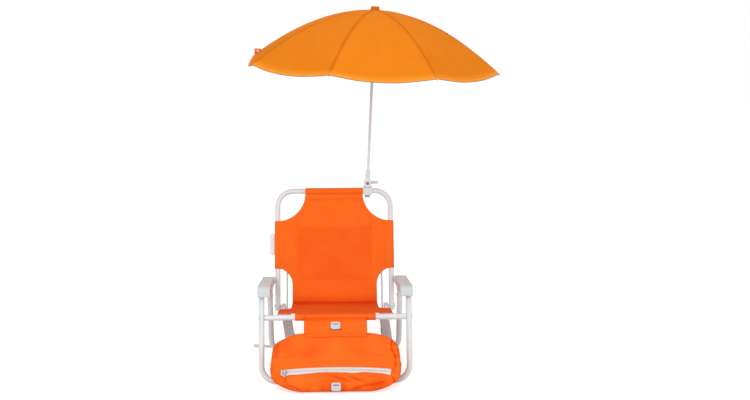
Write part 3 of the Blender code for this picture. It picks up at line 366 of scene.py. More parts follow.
@dataclass(frozen=True)
class MouldedPlastic:
    """Moulded plastic with a fine grained skin and soft flow marks."""

    name: str
    face: tuple
    worn: tuple
    roughness: float = 0.5
    gloss: float = 0.45
    grain: float = 1400.0
    grain_height: float = 0.00008

    def material(self) -> bpy.types.Material:
        """Makes the plastic's material.

        Returns:
            The material.
        """
        painter = Painter(self.name, {"Roughness": self.roughness, "Specular IOR Level": self.gloss})
        place = painter.place()
        grain = painter.noise(place, self.grain, 1)
        flow = painter.noise(place, 30, 3, (1, 0.3, 1))
        rubbed = painter.noise(place, 90, 3).between(0.60, 0.80)
        painter.feed("Base Color", painter.mix(flow * 0.5 + rubbed * 0.3, self.face, self.worn))
        painter.feed("Roughness", flow * 0.14 + (self.roughness - 0.07) - rubbed * 0.1)
        painter.bump(grain + flow * 0.4, self.grain_height)
        return painter.material


@dataclass(frozen=True)
class PlatedSteel:
    """Plated steel: fine brushing, dull spots, and a darker tone in its pits."""

    name: str
    face: tuple
    dull: tuple
    roughness: float = 0.3
    brushing_height: float = 0.00003

    def material(self) -> bpy.types.Material:
        """Makes the metal's material.

        Returns:
            The material.
        """
        painter = Painter(self.name, {"Roughness": self.roughness, "Metallic": 1.0})
        place = painter.place()
        brushed = painter.noise(place, 500, 2, (1, 1, 0.1))
        spots = painter.noise(place, 220, 3).between(0.55, 0.75)
        painter.feed("Base Color", painter.mix(spots * 0.6 + brushed * 0.3, self.face, self.dull))
        painter.feed("Roughness", brushed * 0.15 + spots * 0.25 + (self.roughness - 0.1))
        painter.bump(brushed, self.brushing_height)
        return painter.material


@dataclass
class Finishes:
    """Every finish on the chair, made once and shared by the pieces."""

    looks: dict = field(default_factory=lambda: {
        Slot.WHITE_PAINT: TubePaint("white_paint", colour(0.735, 0.76, 0.765), colour(0.56, 0.58, 0.59)),
        Slot.GREY_PLASTIC: MouldedPlastic(
            "grey_plastic", colour(0.62, 0.67, 0.675), colour(0.51, 0.55, 0.56)
        ),
        Slot.DARK_STEEL: PlatedSteel("dark_steel", colour(0.20, 0.20, 0.21), colour(0.07, 0.07, 0.08), 0.4),
        Slot.STEEL: PlatedSteel("steel", colour(0.70, 0.70, 0.71), colour(0.42, 0.42, 0.43)),
        # Each cloth's third colour is its painted highlight
        Slot.CHAIR_CLOTH: WovenCloth(
            "chair_cloth", colour(1.0, 0.166, 0.016), colour(0.84, 0.060, 0.001), colour(1.0, 0.225, 0.036)
        ),
        Slot.CANOPY_CLOTH: WovenCloth(
            "canopy_cloth", colour(0.80, 0.222, 0.006), colour(0.58, 0.105, 0.002), colour(1.0, 0.36, 0.045),
            thread=0.0007, roughness=0.86, crease=0.0008, crease_scale=9.0
        ),
        Slot.WEBBING: BandWebbing("webbing", colour(0.86, 0.87, 0.88), colour(0.66, 0.67, 0.68)),
        Slot.ZIPPER_CLOTH: BandWebbing(
            "zipper_cloth", colour(0.84, 0.80, 0.79), colour(0.66, 0.60, 0.58), rib=0.0012
        ),
        Slot.TAG_CLOTH: WovenCloth(
            "tag_cloth", grey(0.86), grey(0.66), grey(0.9),
            thread=0.0006, roughness=0.8, crease=0.0003, crease_scale=60.0
        ),
    })
    made: dict = field(default_factory=dict)

    def of(self, slot: Slot) -> bpy.types.Material:
        """The material of a slot, made when it is first asked for.

        Args:
            slot: which finish it is.

        Returns:
            The material.
        """
        if slot not in self.made:
            self.made[slot] = self.looks[slot].material()
        return self.made[slot]

    def dress(self, piece: bpy.types.Object, slot: Slot) -> bpy.types.Object:
        """Gives a piece its finish.

        Args:
            piece: a mesh object.
            slot: which finish it takes.

        Returns:
            The same piece.
        """
        piece.data.materials.clear()
        piece.data.materials.append(self.of(slot))
        return piece


def fade(distance: np.ndarray, width: float) -> np.ndarray:
    """0 where the distance is below 0, 1 past the width, and straight between."""
    return np.clip(distance / width, 0, 1)


def bell(distance: np.ndarray, width: float) -> np.ndarray:
    """1 on a line, and less and less to its sides."""
    return np.exp(-(distance / width) ** 2)


def eased(share: np.ndarray) -> np.ndarray:
    """A share from 0 to 1 that leaves 0 and reaches 1 softly."""
    return share * share * (3 - 2 * share)


def crumple(places: np.ndarray, size: float) -> np.ndarray:
    """Soft uneven height of slack cloth.

    Args:
        places: where on the cloth, in metres, ending in 2.
        size: about how far apart the soft folds are.

    Returns:
        A height from about -1 to 1 for each place.
    """
    x, y = places[..., 0] / size, places[..., 1] / size
    first = np.sin(5.1 * x + 1.7 * np.sin(2.3 * y + 0.4))
    second = np.sin(4.3 * y - 1.3 * np.sin(2.9 * x + 1.1))
    third = np.sin(3.1 * (x + y) + 1.9 * np.sin(1.7 * x - 0.6))
    return (first + second + third) / 3


def reach_along(line: np.ndarray) -> np.ndarray:
    """How far along a line of points each of them is."""
    return np.concatenate([[0], np.cumsum(np.linalg.norm(np.diff(line, axis=0), axis=1))])


def grid(across: np.ndarray, along: np.ndarray) -> np.ndarray:
    """Rows by columns by 2: every place with one of the numbers across and one of those along."""
    return np.stack(np.meshgrid(across, along), -1)


def extruded(x: np.ndarray, y: np.ndarray, z: np.ndarray) -> np.ndarray:
    """Rows by columns by 3: a side view's places, y and z, repeated at every x."""
    return np.stack([*np.meshgrid(x, y), np.repeat(z[:, None], len(x), 1)], -1)


def grid_normals(points: np.ndarray) -> np.ndarray:
    """The directions, of length 1, out of a grid of points that is rows by columns by 3."""
    out = np.cross(np.gradient(points, axis=1), np.gradient(points, axis=0))
    return out / np.maximum(np.linalg.norm(out, axis=2, keepdims=True), 1e-12)


def mesh_of(name: str, corners: list | np.ndarray, faces: list) -> bpy.types.Mesh:
    """A new mesh.

    Args:
        name: its name.
        corners: its points.
        faces: the numbers of each face's points.

    Returns:
        The mesh.
    """
    mesh = bpy.data.meshes.new(name)
    mesh.from_pydata([tuple(corner) for corner in corners], [], faces)
    return mesh


def store(mesh: bpy.types.Mesh, places: np.ndarray, shades: np.ndarray) -> None:
    """Keeps each point's place on the flat cloth, three numbers, and its shade on the mesh."""
    mesh.attributes.new(PLACE, "FLOAT_VECTOR", "POINT").data.foreach_set("vector", places.ravel())
    mesh.attributes.new(SHADE, "FLOAT", "POINT").data.foreach_set("value", shades.ravel())


def link(name: str, data: bpy.types.ID) -> bpy.types.Object:
    """A new object in the scene.

    Args:
        name: its name.
        data: its mesh, or its data as a lamp or a camera.

    Returns:
        The object.
    """
    piece = bpy.data.objects.new(name, data)
    bpy.context.scene.collection.objects.link(piece)
    return piece


@dataclass
class ClothWork:
    """Gathers sheets of cloth, each a grid of points, into one piece."""

    thickness: float = CLOTH
    place: Matrix = field(default_factory=Matrix)
    area: float = 0.0
    corners: list = field(default_factory=list)
    faces: list = field(default_factory=list)
    places: list = field(default_factory=list)
    shades: list = field(default_factory=list)
    normals: list = field(default_factory=list)

    def add(self, points: np.ndarray, places: np.ndarray, shades: np.ndarray | float = 0.0,
            kept: np.ndarray | None = None, normals: np.ndarray | None = None) -> None:
        """Adds one sheet, given in the frame that the work is made in.

        Args:
            points: rows by columns by 3, its outer face.
            places: rows by columns by 2, where each point is on the flat cloth, in metres.
            shades: rows by columns or one number, -1 to 1, how dark the cloth is there.
            kept: which of the grid's faces are there, where not all are.
            normals: the direction out of the cloth, where the grid's own isn't wanted.
        """
        rows, columns = points.shape[:2]
        count = rows * columns
        normals = grid_normals(points) if normals is None else normals
        matrix = np.array(self.place, float)
        top = (points @ matrix[:3, :3].T + matrix[:3, 3]).reshape(-1, 3)
        out = (normals @ matrix[:3, :3].T).reshape(-1, 3)
        index = np.arange(count).reshape(rows, columns)
        quads = np.stack([index[:-1, :-1], index[:-1, 1:], index[1:, 1:], index[1:, :-1]], -1)
        quads = quads.reshape(-1, 4) if kept is None else quads[kept]
        diagonals = np.cross(top[quads[:, 2]] - top[quads[:, 0]], top[quads[:, 3]] - top[quads[:, 1]])
        self.area += float(np.linalg.norm(diagonals, axis=1).sum() / 2)
        edges = {(int(quad[i]), int(quad[(i + 1) % 4])) for quad in quads for i in range(4)}
        walls = [(b, a, a + count, b + count) for a, b in sorted(edges) if (b, a) not in edges]
        start = sum(len(corners) for corners in self.corners)
        self.faces += [quads + start, quads[:, ::-1] + (count + start), np.array(walls) + start]
        self.corners += [top, top - out * self.thickness]
        self.normals += [out, -out]
        self.places += [np.concatenate([places.reshape(-1, 2), np.zeros((count, 1))], 1)] * 2
        self.shades += [np.broadcast_to(shades, (rows, columns)).reshape(-1)] * 2

    def build(self, name: str, own_normals: bool = False) -> bpy.types.Object:
        """Makes the gathered sheets one object, without the points that no face uses.

        Args:
            name: its name.
            own_normals: whether the sheets' own directions light it.

        Returns:
            The object, linked to the scene.
        """
        used, faces = np.unique(np.concatenate(self.faces), return_inverse=True)
        mesh = mesh_of(name, np.concatenate(self.corners)[used], faces.reshape(-1, 4).tolist())
        store(mesh, np.concatenate(self.places)[used], np.concatenate(self.shades)[used])
        mesh.shade_smooth()
        if own_normals:
            mesh.normals_split_custom_set_from_vertices(np.concatenate(self.normals)[used].tolist())
        return link(name, mesh)


@dataclass
class RoundWork:
    """Gathers round rods and studs, such as piping, zipper teeth and rivets, into one piece."""

    radius: float = 0.0011
    sides: int = 8
    shade: float | None = None
    corners: list = field(default_factory=list)
    faces: list = field(default_factory=list)

    def ring(self, middle: Vector, side: Vector, other: Vector, size: float = 1.0) -> list:
        """Points round a middle, from one direction towards another, at a share of the radius."""
        turns = [2 * pi * k / self.sides for k in range(self.sides)]
        return [middle + (side * cos(turn) + other * sin(turn)) * (self.radius * size) for turn in turns]

    def through(self, rings: list) -> None:
        """Adds a solid that goes through rings of points, all of one length, and is closed at both ends.

        Args:
            rings: lists of vectors that turn to the left about the way ahead.
        """
        start, count = len(self.corners), len(rings[0])
        last = start + count * (len(rings) - 1)
        for low in range(start, last, count):
            turns = [(low + k, low + (k + 1) % count) for k in range(count)]
            self.faces += [(a, b, b + count, a + count) for a, b in turns]
        self.faces += [tuple(range(start, start + count))[::-1], tuple(range(last, last + count))]
        self.corners += [corner for ring in rings for corner in ring]

    def rod(self, path: list) -> None:
        """Adds a rod along a line of vectors.

        Args:
            path: the points of its middle line.
        """
        rings, side = [], None
        for i, point in enumerate(path):
            ahead = (path[min(i + 1, len(path) - 1)] - path[max(i - 1, 0)]).normalized()
            side = ahead.orthogonal().normalized() if side is None else side
            side = (side - ahead * side.dot(ahead)).normalized()
            rings.append(self.ring(point, side, ahead.cross(side)))
        self.through(rings)

    def build(self, name: str, smooth: bool = True) -> bpy.types.Object:
        """Makes what was gathered one object.

        Args:
            name: its name.
            smooth: whether it is shaded as round.

        Returns:
            The object, linked to the scene.
        """
        mesh = mesh_of(name, self.corners, self.faces)
        if self.shade is not None:
            store(mesh, np.array([tuple(c) for c in self.corners]), np.full(len(self.corners), self.shade))
        if smooth:
            mesh.shade_smooth()
        return link(name, mesh)


@dataclass
class Stitching(RoundWork):
    """Rows of short stitches that lie on the cloth."""

    radius: float = 0.00032
    sides: int = 5
    shade: float | None = 0.35
    length: float = 0.0024
    pitch: float = 0.0036

    def row(self, path: list) -> None:
        """Adds stitches along a line.

        Args:
            path: the line's points, as vectors.
        """
        reach = [0.0]
        for a, b in zip(path, path[1:]):
            reach.append(reach[-1] + (b - a).length)
        at = self.pitch / 2
        while at + self.length < reach[-1]:
            self.rod([self.along(path, reach, at + self.length * share) for share in (0, 0.5, 1)])
            at += self.pitch

    def along(self, path: list, reach: list, distance: float) -> Vector:
        """The place so far along a line, whose points lie at the reaches."""
        i = max(k for k, r in enumerate(reach[:-1]) if r <= distance)
        return path[i].lerp(path[i + 1], (distance - reach[i]) / (reach[i + 1] - reach[i]))


@dataclass
class Canopy:
    """The umbrella's cloth: one curved sheet in eight gores, each half gore going with its own rib."""

    radius: float = 0.360
    rise: float = 0.150
    power: float = 1.9
    sag: float = 0.014
    valley: float = 0.016
    wrinkle: float = 0.0007
    lift: float = 0.0008
    crown_level: float = 0.4855
    first_rib: float = radians(-65)
    ribs: int = 8
    thickness: float = 0.0005
    gore: tuple = (0.29, 0.40)
    gore_area: float = 0.1159
    over_dome: float = 1.09
    inner_share: float = 0.0118
    rows: int = 40
    half_columns: int = 12
    bunching: float = 1.25
    hem: float = 0.010
    hem_sides: tuple = ((1.0, 1.0015, 1.0), (0.0, 0.0007, 0.0013, 0.0012))
    hem_from: float = 0.962
    hem_fade: float = 0.022
    # The hem band is painted lighter, a painted highlight
    hem_painted_highlight: float = -0.75
    seam_width: float = 0.0035
    seam_shade: float = 0.75
    seam_shares: tuple = (0.06, 0.985)
    stitch_offset: float = 0.0030
    stitch_lift: float = 0.00015
    furled_share: float = 0.20
    tie_rib: float = 6.06
    tie_share: float = 0.955
    tie_half: float = 0.0095
    tie_low: float = -0.0090
    tie_high: float = 0.0120
    tie_slant: float = 0.72
    tie_rise: tuple = (0.0, 0.35, 0.7, 0.95, 1.0, 0.85, 0.6)
    tie_lean: tuple = (0.0, -0.0005, 0.0, 0.0015, 0.0050, 0.0080, 0.0095)
    tie_thickness: float = 0.0012
    tie_shade: float = 0.62
    snap_radius: float = 0.0034
    snap_place: tuple = (0, -0.0004, 0.0060)
    snap_depths: tuple = (0, 0.0010, 0.0016)
    cover_over: tuple = (0.0010, 0.0009)
    cover_foot: float = 0.0008
    cover_thickness: float = 0.0006
    cover_shade: float = 0.75
    cover_rings: tuple = (
        (0.02, 1, 0), (0.35, 1, 0), (0.70, 1, -0.0002), (0.92, 1, -0.0009),
        (1.0, 0.5, 0), (1.06, 0, 0.0006), (1.45, 0, -0.0002),
    )

    def rib_angle(self, number: float) -> float:
        """The way round the pole of a rib, numbered from 1, or of a place between two of them."""
        return self.first_rib + 2 * pi * (number - 1) / self.ribs

    def point(self, angle: np.ndarray, share: np.ndarray) -> np.ndarray:
        """Places on the cloth, in the pole's frame.

        Args:
            angle: the way round the pole.
            share: how far out, from 0 at the pole to 1 at the hem.

        Returns:
            The places, ending in 3.
        """
        gore = 2 * pi / self.ribs
        along = ((angle - self.first_rib) % gore) / gore
        arch = 4 * along * (1 - along)
        radius = self.radius * share - self.valley * arch * share ** 2
        drop = self.rise * share ** self.power + self.sag * arch * share ** 4
        wrinkle = self.wrinkle * np.sin(23 * angle + 6 * share) * share ** 3 * (1 - arch)
        z = self.crown_level - drop + self.lift + wrinkle
        return np.stack([radius * np.cos(angle), radius * np.sin(angle), z], -1)

    def normal(self, angle: np.ndarray, share: np.ndarray, step: float = 1e-4) -> np.ndarray:
        """The direction out of the cloth, in the pole's frame.

        Args:
            angle: the way round the pole.
            share: how far out, from 0 at the pole to 1 at the hem.
            step: how far to each side the cloth is looked at.

        Returns:
            The directions, ending in 3.
        """
        round_it = self.point(angle + step, share) - self.point(angle - step, share)
        outward = self.point(angle, share + step) - self.point(angle, share - step)
        out = np.cross(outward, round_it)
        return out / np.linalg.norm(out, axis=-1, keepdims=True)

    def cloth(self, number: int, finishes: Finishes) -> bpy.types.Object:
        """The cloth either side of one rib.

        Args:
            number: the rib's number, from 1.
            finishes: the chair's finishes.

        Returns:
            The cloth, riding on its rib.
        """
        middle = self.rib_angle(number)
        spread = np.linspace(-1, 1, 2 * self.half_columns + 1)
        spread = np.sign(spread) * np.abs(spread) ** self.bunching
        shares = np.linspace(self.inner_share, 1, self.rows + 1)
        angle, share = np.meshgrid(middle - pi / self.ribs * spread, shares)
        off = (angle - middle) * share * self.radius
        places = np.stack([off + number, share * self.radius * self.over_dome], -1)
        # The seams by the ribs are darker, and the hem band takes a painted highlight
        near_hem = fade(share - self.hem_from, self.hem_fade)
        seam = np.clip(self.seam_shade * bell(off, self.seam_width) + 0.05, 0, 1)
        shades = seam * (1 - near_hem) + self.hem_painted_highlight * near_hem
        work = ClothWork(self.thickness, POLE_PLACE)
        work.add(self.point(angle, share), places, shades, normals=self.normal(angle, share))
        self.turn_hem(work, number)
        piece = work.build(f"canopy_cloth_{number}", own_normals=True)
        finishes.dress(piece, Slot.CANOPY_CLOTH)
        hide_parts("canopy")
        self.follow(piece, number)
        return piece

    def turn_hem(self, work: ClothWork, number: int) -> None:
        """Adds the hem: the cloth's edge turned under and sewn down.

        Args:
            work: gathers the sheets.
            number: the rib's number.
        """
        middle, half = self.rib_angle(number), pi / self.ribs
        columns = np.linspace(middle + half, middle - half, 2 * self.half_columns + 1)
        edge, depths = self.hem_sides
        angle, share = np.meshgrid(columns, [*edge, 1 - self.hem / self.radius])
        normals = self.normal(angle, np.minimum(share, 1.0))
        points = self.point(angle, share) - normals * np.array(depths)[:, None, None]
        places = np.stack([(angle - middle) * self.radius + number, share * self.radius * self.over_dome], -1)
        # The turned-under hem takes the same painted highlight
        work.add(points, places, self.hem_painted_highlight, normals=-normals)

    def seams(self, number: int, finishes: Finishes) -> bpy.types.Object:
        """The two rows of stitches beside a rib's seam, and the row along its hem.

        Args:
            number: the rib's number, from 1.
            finishes: the chair's finishes.

        Returns:
            The stitches, riding on the rib.
        """
        middle, half = self.rib_angle(number), pi / self.ribs
        stitches = Stitching(radius=0.0003, length=0.0030, pitch=0.0046)
        shares = np.linspace(*self.seam_shares, 40)
        for way in (-1, 1):
            stitches.row(self.line(middle + way * self.stitch_offset / (shares * self.radius), shares))
        angles = np.linspace(middle - half, middle + half, 30)
        stitches.row(self.line(angles, np.full(len(angles), 1 - 0.8 * self.hem / self.radius)))
        piece = stitches.build(f"canopy_stitches_{number}")
        finishes.dress(piece, Slot.CANOPY_CLOTH)
        return self.follow(piece, number)

    def line(self, angles: np.ndarray, shares: np.ndarray) -> list:
        """A line of places just over the cloth."""
        points = self.point(angles, shares) + self.normal(angles, shares) * self.stitch_lift
        return [POLE_PLACE @ Vector(point) for point in points]

    def closure(self, finishes: Finishes) -> list:
        """The tie that holds the furled umbrella, sewn on by the left rib and folded up, with its snap.

        Args:
            finishes: the chair's finishes.

        Returns:
            The tie and its snap.
        """
        angle = self.rib_angle(self.tie_rib)
        base = self.point(np.array([angle]), np.array([self.tie_share]))[0]
        out = np.array([cos(angle), sin(angle), 0.0])
        across = np.linspace(-self.tie_half, self.tie_half, 7)
        rise, lean = np.array(self.tie_rise), np.array(self.tie_lean)
        low = self.tie_low - self.tie_slant * across[::-1]
        points = base - across[None, :, None] * out + lean[:, None, None] * np.array([0.0, 1.0, 0.0])
        points[..., 2] += low[None, :] + (self.tie_high - low)[None, :] * rise[:, None]
        work = ClothWork(self.tie_thickness, POLE_PLACE)
        work.add(points, grid(across, rise * (self.tie_high - self.tie_low) + lean), self.tie_shade)
        flap = work.build("canopy_closure")
        finishes.dress(flap, Slot.CHAIR_CLOTH)
        seat = POLE_PLACE @ Vector(base + np.array(self.snap_place))
        stud = RoundWork(self.snap_radius, 16)
        stud.rod([seat + Vector((0, -deep, 0)) for deep in self.snap_depths])
        snap = stud.build("closure_snap", smooth=False)
        finishes.dress(snap, Slot.STEEL)
        return [self.follow(piece, int(self.tie_rib)) for piece in (flap, snap)]

    def top_cover(self, finishes: Finishes) -> bpy.types.Object:
        """The small cap of cloth sewn over the top.

        Args:
            finishes: the chair's finishes.

        Returns:
            The cap, riding on the umbrella.
        """
        inverse = POLE_PLACE.inverted()
        solid = [inverse @ v.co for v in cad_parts["top_cap"].data.vertices]
        beside, above = self.cover_over
        reach = max(v.xy.length for v in solid) + beside
        top = max(v.z for v in solid) + above
        edge = self.crown_level + self.cover_foot
        size, share, step = (np.array(numbers)[:, None] for numbers in zip(*self.cover_rings))
        turns = np.linspace(2 * pi, 0, 33)
        x, y = size * reach * np.cos(turns), size * reach * np.sin(turns)
        points = np.stack([x, y, edge + (top - edge) * share + step + 0 * turns], -1)
        work = ClothWork(self.cover_thickness, POLE_PLACE)
        work.add(points, points[..., :2], self.cover_shade)
        piece = work.build("canopy_top_cover")
        finishes.dress(piece, Slot.CANOPY_CLOTH)
        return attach(piece, "umbrella")

    def follow(self, piece: bpy.types.Object, number: int) -> bpy.types.Object:
        """Rides a piece on a rib, with a mesh of its own.

        Args:
            piece: what follows the rib.
            number: the rib's number, from 1.

        Returns:
            The same piece.
        """
        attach(piece, f"rib_{number}")
        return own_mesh(piece)

    def build(self, finishes: Finishes) -> list:
        """Makes the canopy.

        Args:
            finishes: the chair's finishes.

        Returns:
            Its pieces.
        """
        made = []
        for number in range(1, self.ribs + 1):
            made += [self.cloth(number, finishes), self.seams(number, finishes)]
        return made + self.closure(finishes) + [self.top_cover(finishes)]


@dataclass
class TautSheet:
    """A taut sheet of cloth between two tubes, with sleeves round them, as the sling's back and seat are.

    In its frame x is across, y along the tubes and z out of the cloth. The tubes' middle lines lie at z = 0.
    """

    half: float = SEAT_HALF_WIDTH
    place: Matrix = field(default_factory=lambda: SEAT_PLACE)
    flat_columns: int = 40
    wrap_columns: int = 12
    wrap_turn: float = radians(255)
    slack_half: float = 0.130
    slack_fade: float = 0.03
    sag: float = 0.0035
    sag_half: float = 0.155
    sag_length: float = 0.325
    pull: float = 0.0009
    pull_size: float = 0.095
    side_seams: tuple = (0.1440, 0.1400)
    side_seam_ends: tuple = (0.109, 0.235)
    bar_seams: tuple = (0.304, 0.300)
    bar_seam_half: float = 0.080
    stitch_lift: float = 0.0001

    def rows(self) -> list:
        """How far along each row is, the sheet's half width there, and whether it has sleeves."""
        raise NotImplementedError

    def relief(self, x: np.ndarray, y: np.ndarray) -> np.ndarray:
        """How far the cloth lies under the tubes' faces: its sag and its uneven pull.

        Args:
            x: how far across.
            y: how far along.

        Returns:
            The depths.
        """
        across = np.cos(np.clip(x / self.sag_half, -1, 1) * pi / 2)
        sag = self.sag * across * np.sin(fade(y, self.sag_length) * pi)
        return sag + self.pull * crumple(np.stack([x, y], -1), self.pull_size)

    def shade(self, x: np.ndarray, y: np.ndarray) -> np.ndarray:
        """How dark the cloth is at each place on it."""
        raise NotImplementedError

    def height(self, x: np.ndarray, y: np.ndarray) -> np.ndarray:
        """How far out the cloth's face is."""
        return SLEEVE_RADIUS - self.relief(x, y) * fade(self.slack_half - np.abs(x), self.slack_fade)

    def lay(self, work: ClothWork) -> None:
        """Adds the sheet and the sleeves at its sides.

        Args:
            work: gathers the sheets.
        """
        along, widths, sleeved = (np.array(numbers) for numbers in zip(*self.rows()))
        x = widths[:, None] * np.linspace(-1, 1, self.flat_columns + 1)
        turns = np.linspace(0, self.wrap_turn, self.wrap_columns + 1)[1:]
        ones = np.ones((len(along), 1))
        sides = [ones * side for side in (np.sin(turns), turns, np.cos(turns))]
        wrap_x, wrap_reach, wrap_z = (SLEEVE_RADIUS * side for side in sides)
        wrap_x, wrap_reach = wrap_x + self.half, wrap_reach + self.half
        z = self.height(x, along[:, None] + 0 * x)
        rows_x = np.concatenate([-wrap_x[:, ::-1], x, wrap_x], 1)
        rows_z = np.concatenate([wrap_z[:, ::-1], z, wrap_z], 1)
        place_x = np.concatenate([-wrap_reach[:, ::-1], x, wrap_reach], 1)
        rows_y = along[:, None] + 0 * rows_x
        points = np.stack([rows_x, rows_y, rows_z], -1)
        kept = np.ones((len(along) - 1, rows_x.shape[1] - 1), bool)
        bare = ~(sleeved[:-1] & sleeved[1:])
        kept[bare, :self.wrap_columns] = kept[bare, -self.wrap_columns:] = False
        places = np.stack([place_x, rows_y], -1)
        work.add(points, places, self.shade(place_x, rows_y), kept, self.outward(points))

    def outward(self, points: np.ndarray) -> np.ndarray:
        """The direction out of the cloth, which its flat middle and its sleeves take from their own form.

        Args:
            points: the sheet with its sleeves, rows by columns by 3.

        Returns:
            The directions, in the same shape.
        """
        normals = grid_normals(points)
        wrap = self.wrap_columns
        for way, block in ((-1, slice(0, wrap)), (1, slice(-wrap, None))):
            radial = (points[:, block] - np.array([way * self.half, 0, 0])) * np.array([1, 0, 1])
            normals[:, block] = radial / np.linalg.norm(radial, axis=-1, keepdims=True)
        normals[:, wrap] = normals[:, -wrap - 1] = np.array([0.0, 0.0, 1.0])
        return normals

    def on_face(self, x: float, y: float) -> Vector:
        """A place just over the sheet's face."""
        return self.place @ Vector((x, y, float(self.height(np.array(x), np.array(y))) + self.stitch_lift))

    def sew(self) -> Stitching:
        """Sews the sleeves: two rows down each side and two along the bar.

        Returns:
            The stitches.
        """
        stitches = Stitching()
        for x in self.side_seams:
            for way in (-1, 1):
                stitches.row([self.on_face(way * x, y) for y in np.linspace(*self.side_seam_ends, 12)])
        half = self.bar_seam_half
        for y in self.bar_seams:
            stitches.row([self.on_face(x, y) for x in np.linspace(-half, half, 12)])
        return stitches


@dataclass
class BackSling(TautSheet):
    """The sling's back: a taut sheet with sleeves round the uprights and the top bar, and cut-out corners."""

    half: float = BACK_HALF_WIDTH
    place: Matrix = field(default_factory=lambda: BACK_FRONT)
    flat_size: tuple = (0.42, 0.38)
    flat_area: float = 0.1596
    top: float = 0.325
    top_half: float = 0.081
    upper_height: float = 0.317
    upper_radius: float = 0.078
    lower_height: float = 0.060
    lower_radius: float = 0.045
    lower_offset: float = 0.004
    lower_turn: float = radians(5.2)
    foot: float = 0.0066
    bend_ends: tuple = (0.012, 0.050)
    panel: tuple = (0.101, 0.066, 0.227)
    panel_shade: float = 0.34
    edge_shade: float = 0.30
    panel_fades: tuple = (0.006, 0.008)
    edge_place: float = 0.003
    edge_width: float = 0.002
    edge_fade: float = 0.01
    edge_over: float = 0.008
    crease_height: float = 0.302
    crease_depth: float = 0.0009
    crease_bow: float = 0.05
    crease_widths: tuple = (0.0025, 0.003)
    crease_half: float = 0.075
    # Painted shade in the top crease
    painted_crease_shade: float = 0.5
    corner_place: tuple = (0.088, 0.258)
    corner_depth: float = 0.0015
    corner_spread: float = 0.0022
    corner_slant: float = 0.62
    corner_folds: float = 135.0
    # Painted shade at the foot, where the back meets the seat
    painted_foot_shade: float = 0.75
    foot_fade: tuple = (0.032, 0.02)
    top_sleeve_turn: float = radians(240)
    top_sleeve_end: tuple = ((0.3130, 0.0050), (0.3060, 0.0066), (0.3000, 0.0072))

    def rows(self) -> list:
        """The sheet's rows, from its foot to its top.

        Returns:
            How high each row is, the sheet's half width there, and whether it has sleeves.
        """
        edge = self.half + self.lower_offset
        low, high = self.lower_height + self.lower_radius, self.upper_height - self.upper_radius
        heights = np.linspace(self.foot, self.lower_height, 7)[:-1]
        rows = [(y, edge - self.lower_radius, False) for y in heights]
        for turn in np.linspace(pi / 2, self.lower_turn, 12):
            out, up = self.lower_radius * sin(turn), self.lower_radius * cos(turn)
            rows.append((self.lower_height + up, edge - out, False))
        rows += [(y, self.half, True) for y in np.linspace(low, high, 24)]
        for turn in np.linspace(0, pi / 2, 15)[1:]:
            out, up = self.upper_radius * sin(turn), self.upper_radius * cos(turn)
            rows.append((self.upper_height - up, max(self.top_half, self.half - out), False))
        return rows

    def relief(self, x: np.ndarray, y: np.ndarray) -> np.ndarray:
        """How far the cloth lies behind the tubes' faces: its sag, its top crease and the corners' folds.

        Args:
            x: how far across.
            y: how high.

        Returns:
            The depths.
        """
        bowed = y - self.crease_height + self.crease_bow * x * x
        crease = self.crease_depth * bell(bowed, self.crease_widths[0])
        corner_x, corner_y = self.corner_place
        away = (np.abs(x) - corner_x) ** 2 + (y - corner_y) ** 2
        folds = np.sin((np.abs(x) + self.corner_slant * y) * self.corner_folds)
        return super().relief(x, y) + crease + self.corner_depth * folds * np.exp(-away / self.corner_spread)

    def shade(self, x: np.ndarray, y: np.ndarray) -> np.ndarray:
        """Where the cloth is darker: the doubled panel and its edges, and painted shade in the top crease and
        at the foot.

        Args:
            x: how far across.
            y: how high.

        Returns:
            The shades.
        """
        half, low, high = self.panel
        off = np.abs(x) - half
        side, end = self.panel_fades
        inside = fade(-off, side) * fade(y - low, end) * fade(high - y, end)
        edge = bell(off - self.edge_place, self.edge_width)
        edge = edge * fade(y - low, self.edge_fade) * fade(high + self.edge_over - y, self.edge_fade)
        # Painted shade along the top crease
        crease = bell(y - self.crease_height, self.crease_widths[1]) * (np.abs(x) < self.crease_half)
        marks = self.panel_shade * inside + self.edge_shade * edge + self.painted_crease_shade * crease
        # Painted shade towards the foot
        foot, width = self.foot_fade
        return np.clip(marks + self.painted_foot_shade * fade(foot - y, width), 0, 1)

    def top_sleeve(self, work: ClothWork) -> None:
        """Adds the sleeve over the top bar, down to its seam behind the sheet.

        Args:
            work: gathers the sheets.
        """
        turns = np.linspace(0, self.top_sleeve_turn, 16)
        over = SLEEVE_RADIUS * np.stack([np.sin(turns), np.cos(turns)], -1) + np.array([self.top, 0])
        line = np.concatenate([[(self.upper_height, SLEEVE_RADIUS)], over, self.top_sleeve_end])
        x = np.linspace(-self.top_half, self.top_half, self.flat_columns + 1)
        work.add(extruded(x, *line.T), grid(x, reach_along(line) + self.upper_height))

    def stitches(self, finishes: Finishes) -> bpy.types.Object:
        """The seams of the sleeves and of the doubled panel.

        Args:
            finishes: the chair's finishes.

        Returns:
            The stitches, riding on the back.
        """
        stitches = self.sew()
        half, low, high = self.panel
        for way in (-1, 1):
            stitches.row([self.on_face(way * half, y) for y in np.linspace(low, high, 12)])
        stitches.row([self.on_face(x, low) for x in np.linspace(-half, half, 14)])
        piece = stitches.build("back_sling_stitches")
        finishes.dress(piece, Slot.CHAIR_CLOTH)
        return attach(piece, "back")

    def build(self, finishes: Finishes) -> list:
        """Makes the back of the sling.

        Args:
            finishes: the chair's finishes.

        Returns:
            Its pieces.
        """
        work = ClothWork(place=self.place)
        self.lay(work)
        self.top_sleeve(work)
        piece = work.build("back_sling_cloth")
        finishes.dress(piece, Slot.CHAIR_CLOTH)
        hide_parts("back_sling")
        low, high = (self.place @ Vector((0, y, SLEEVE_RADIUS)) for y in self.bend_ends)
        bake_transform(piece)
        return [piece, self.stitches(finishes)]


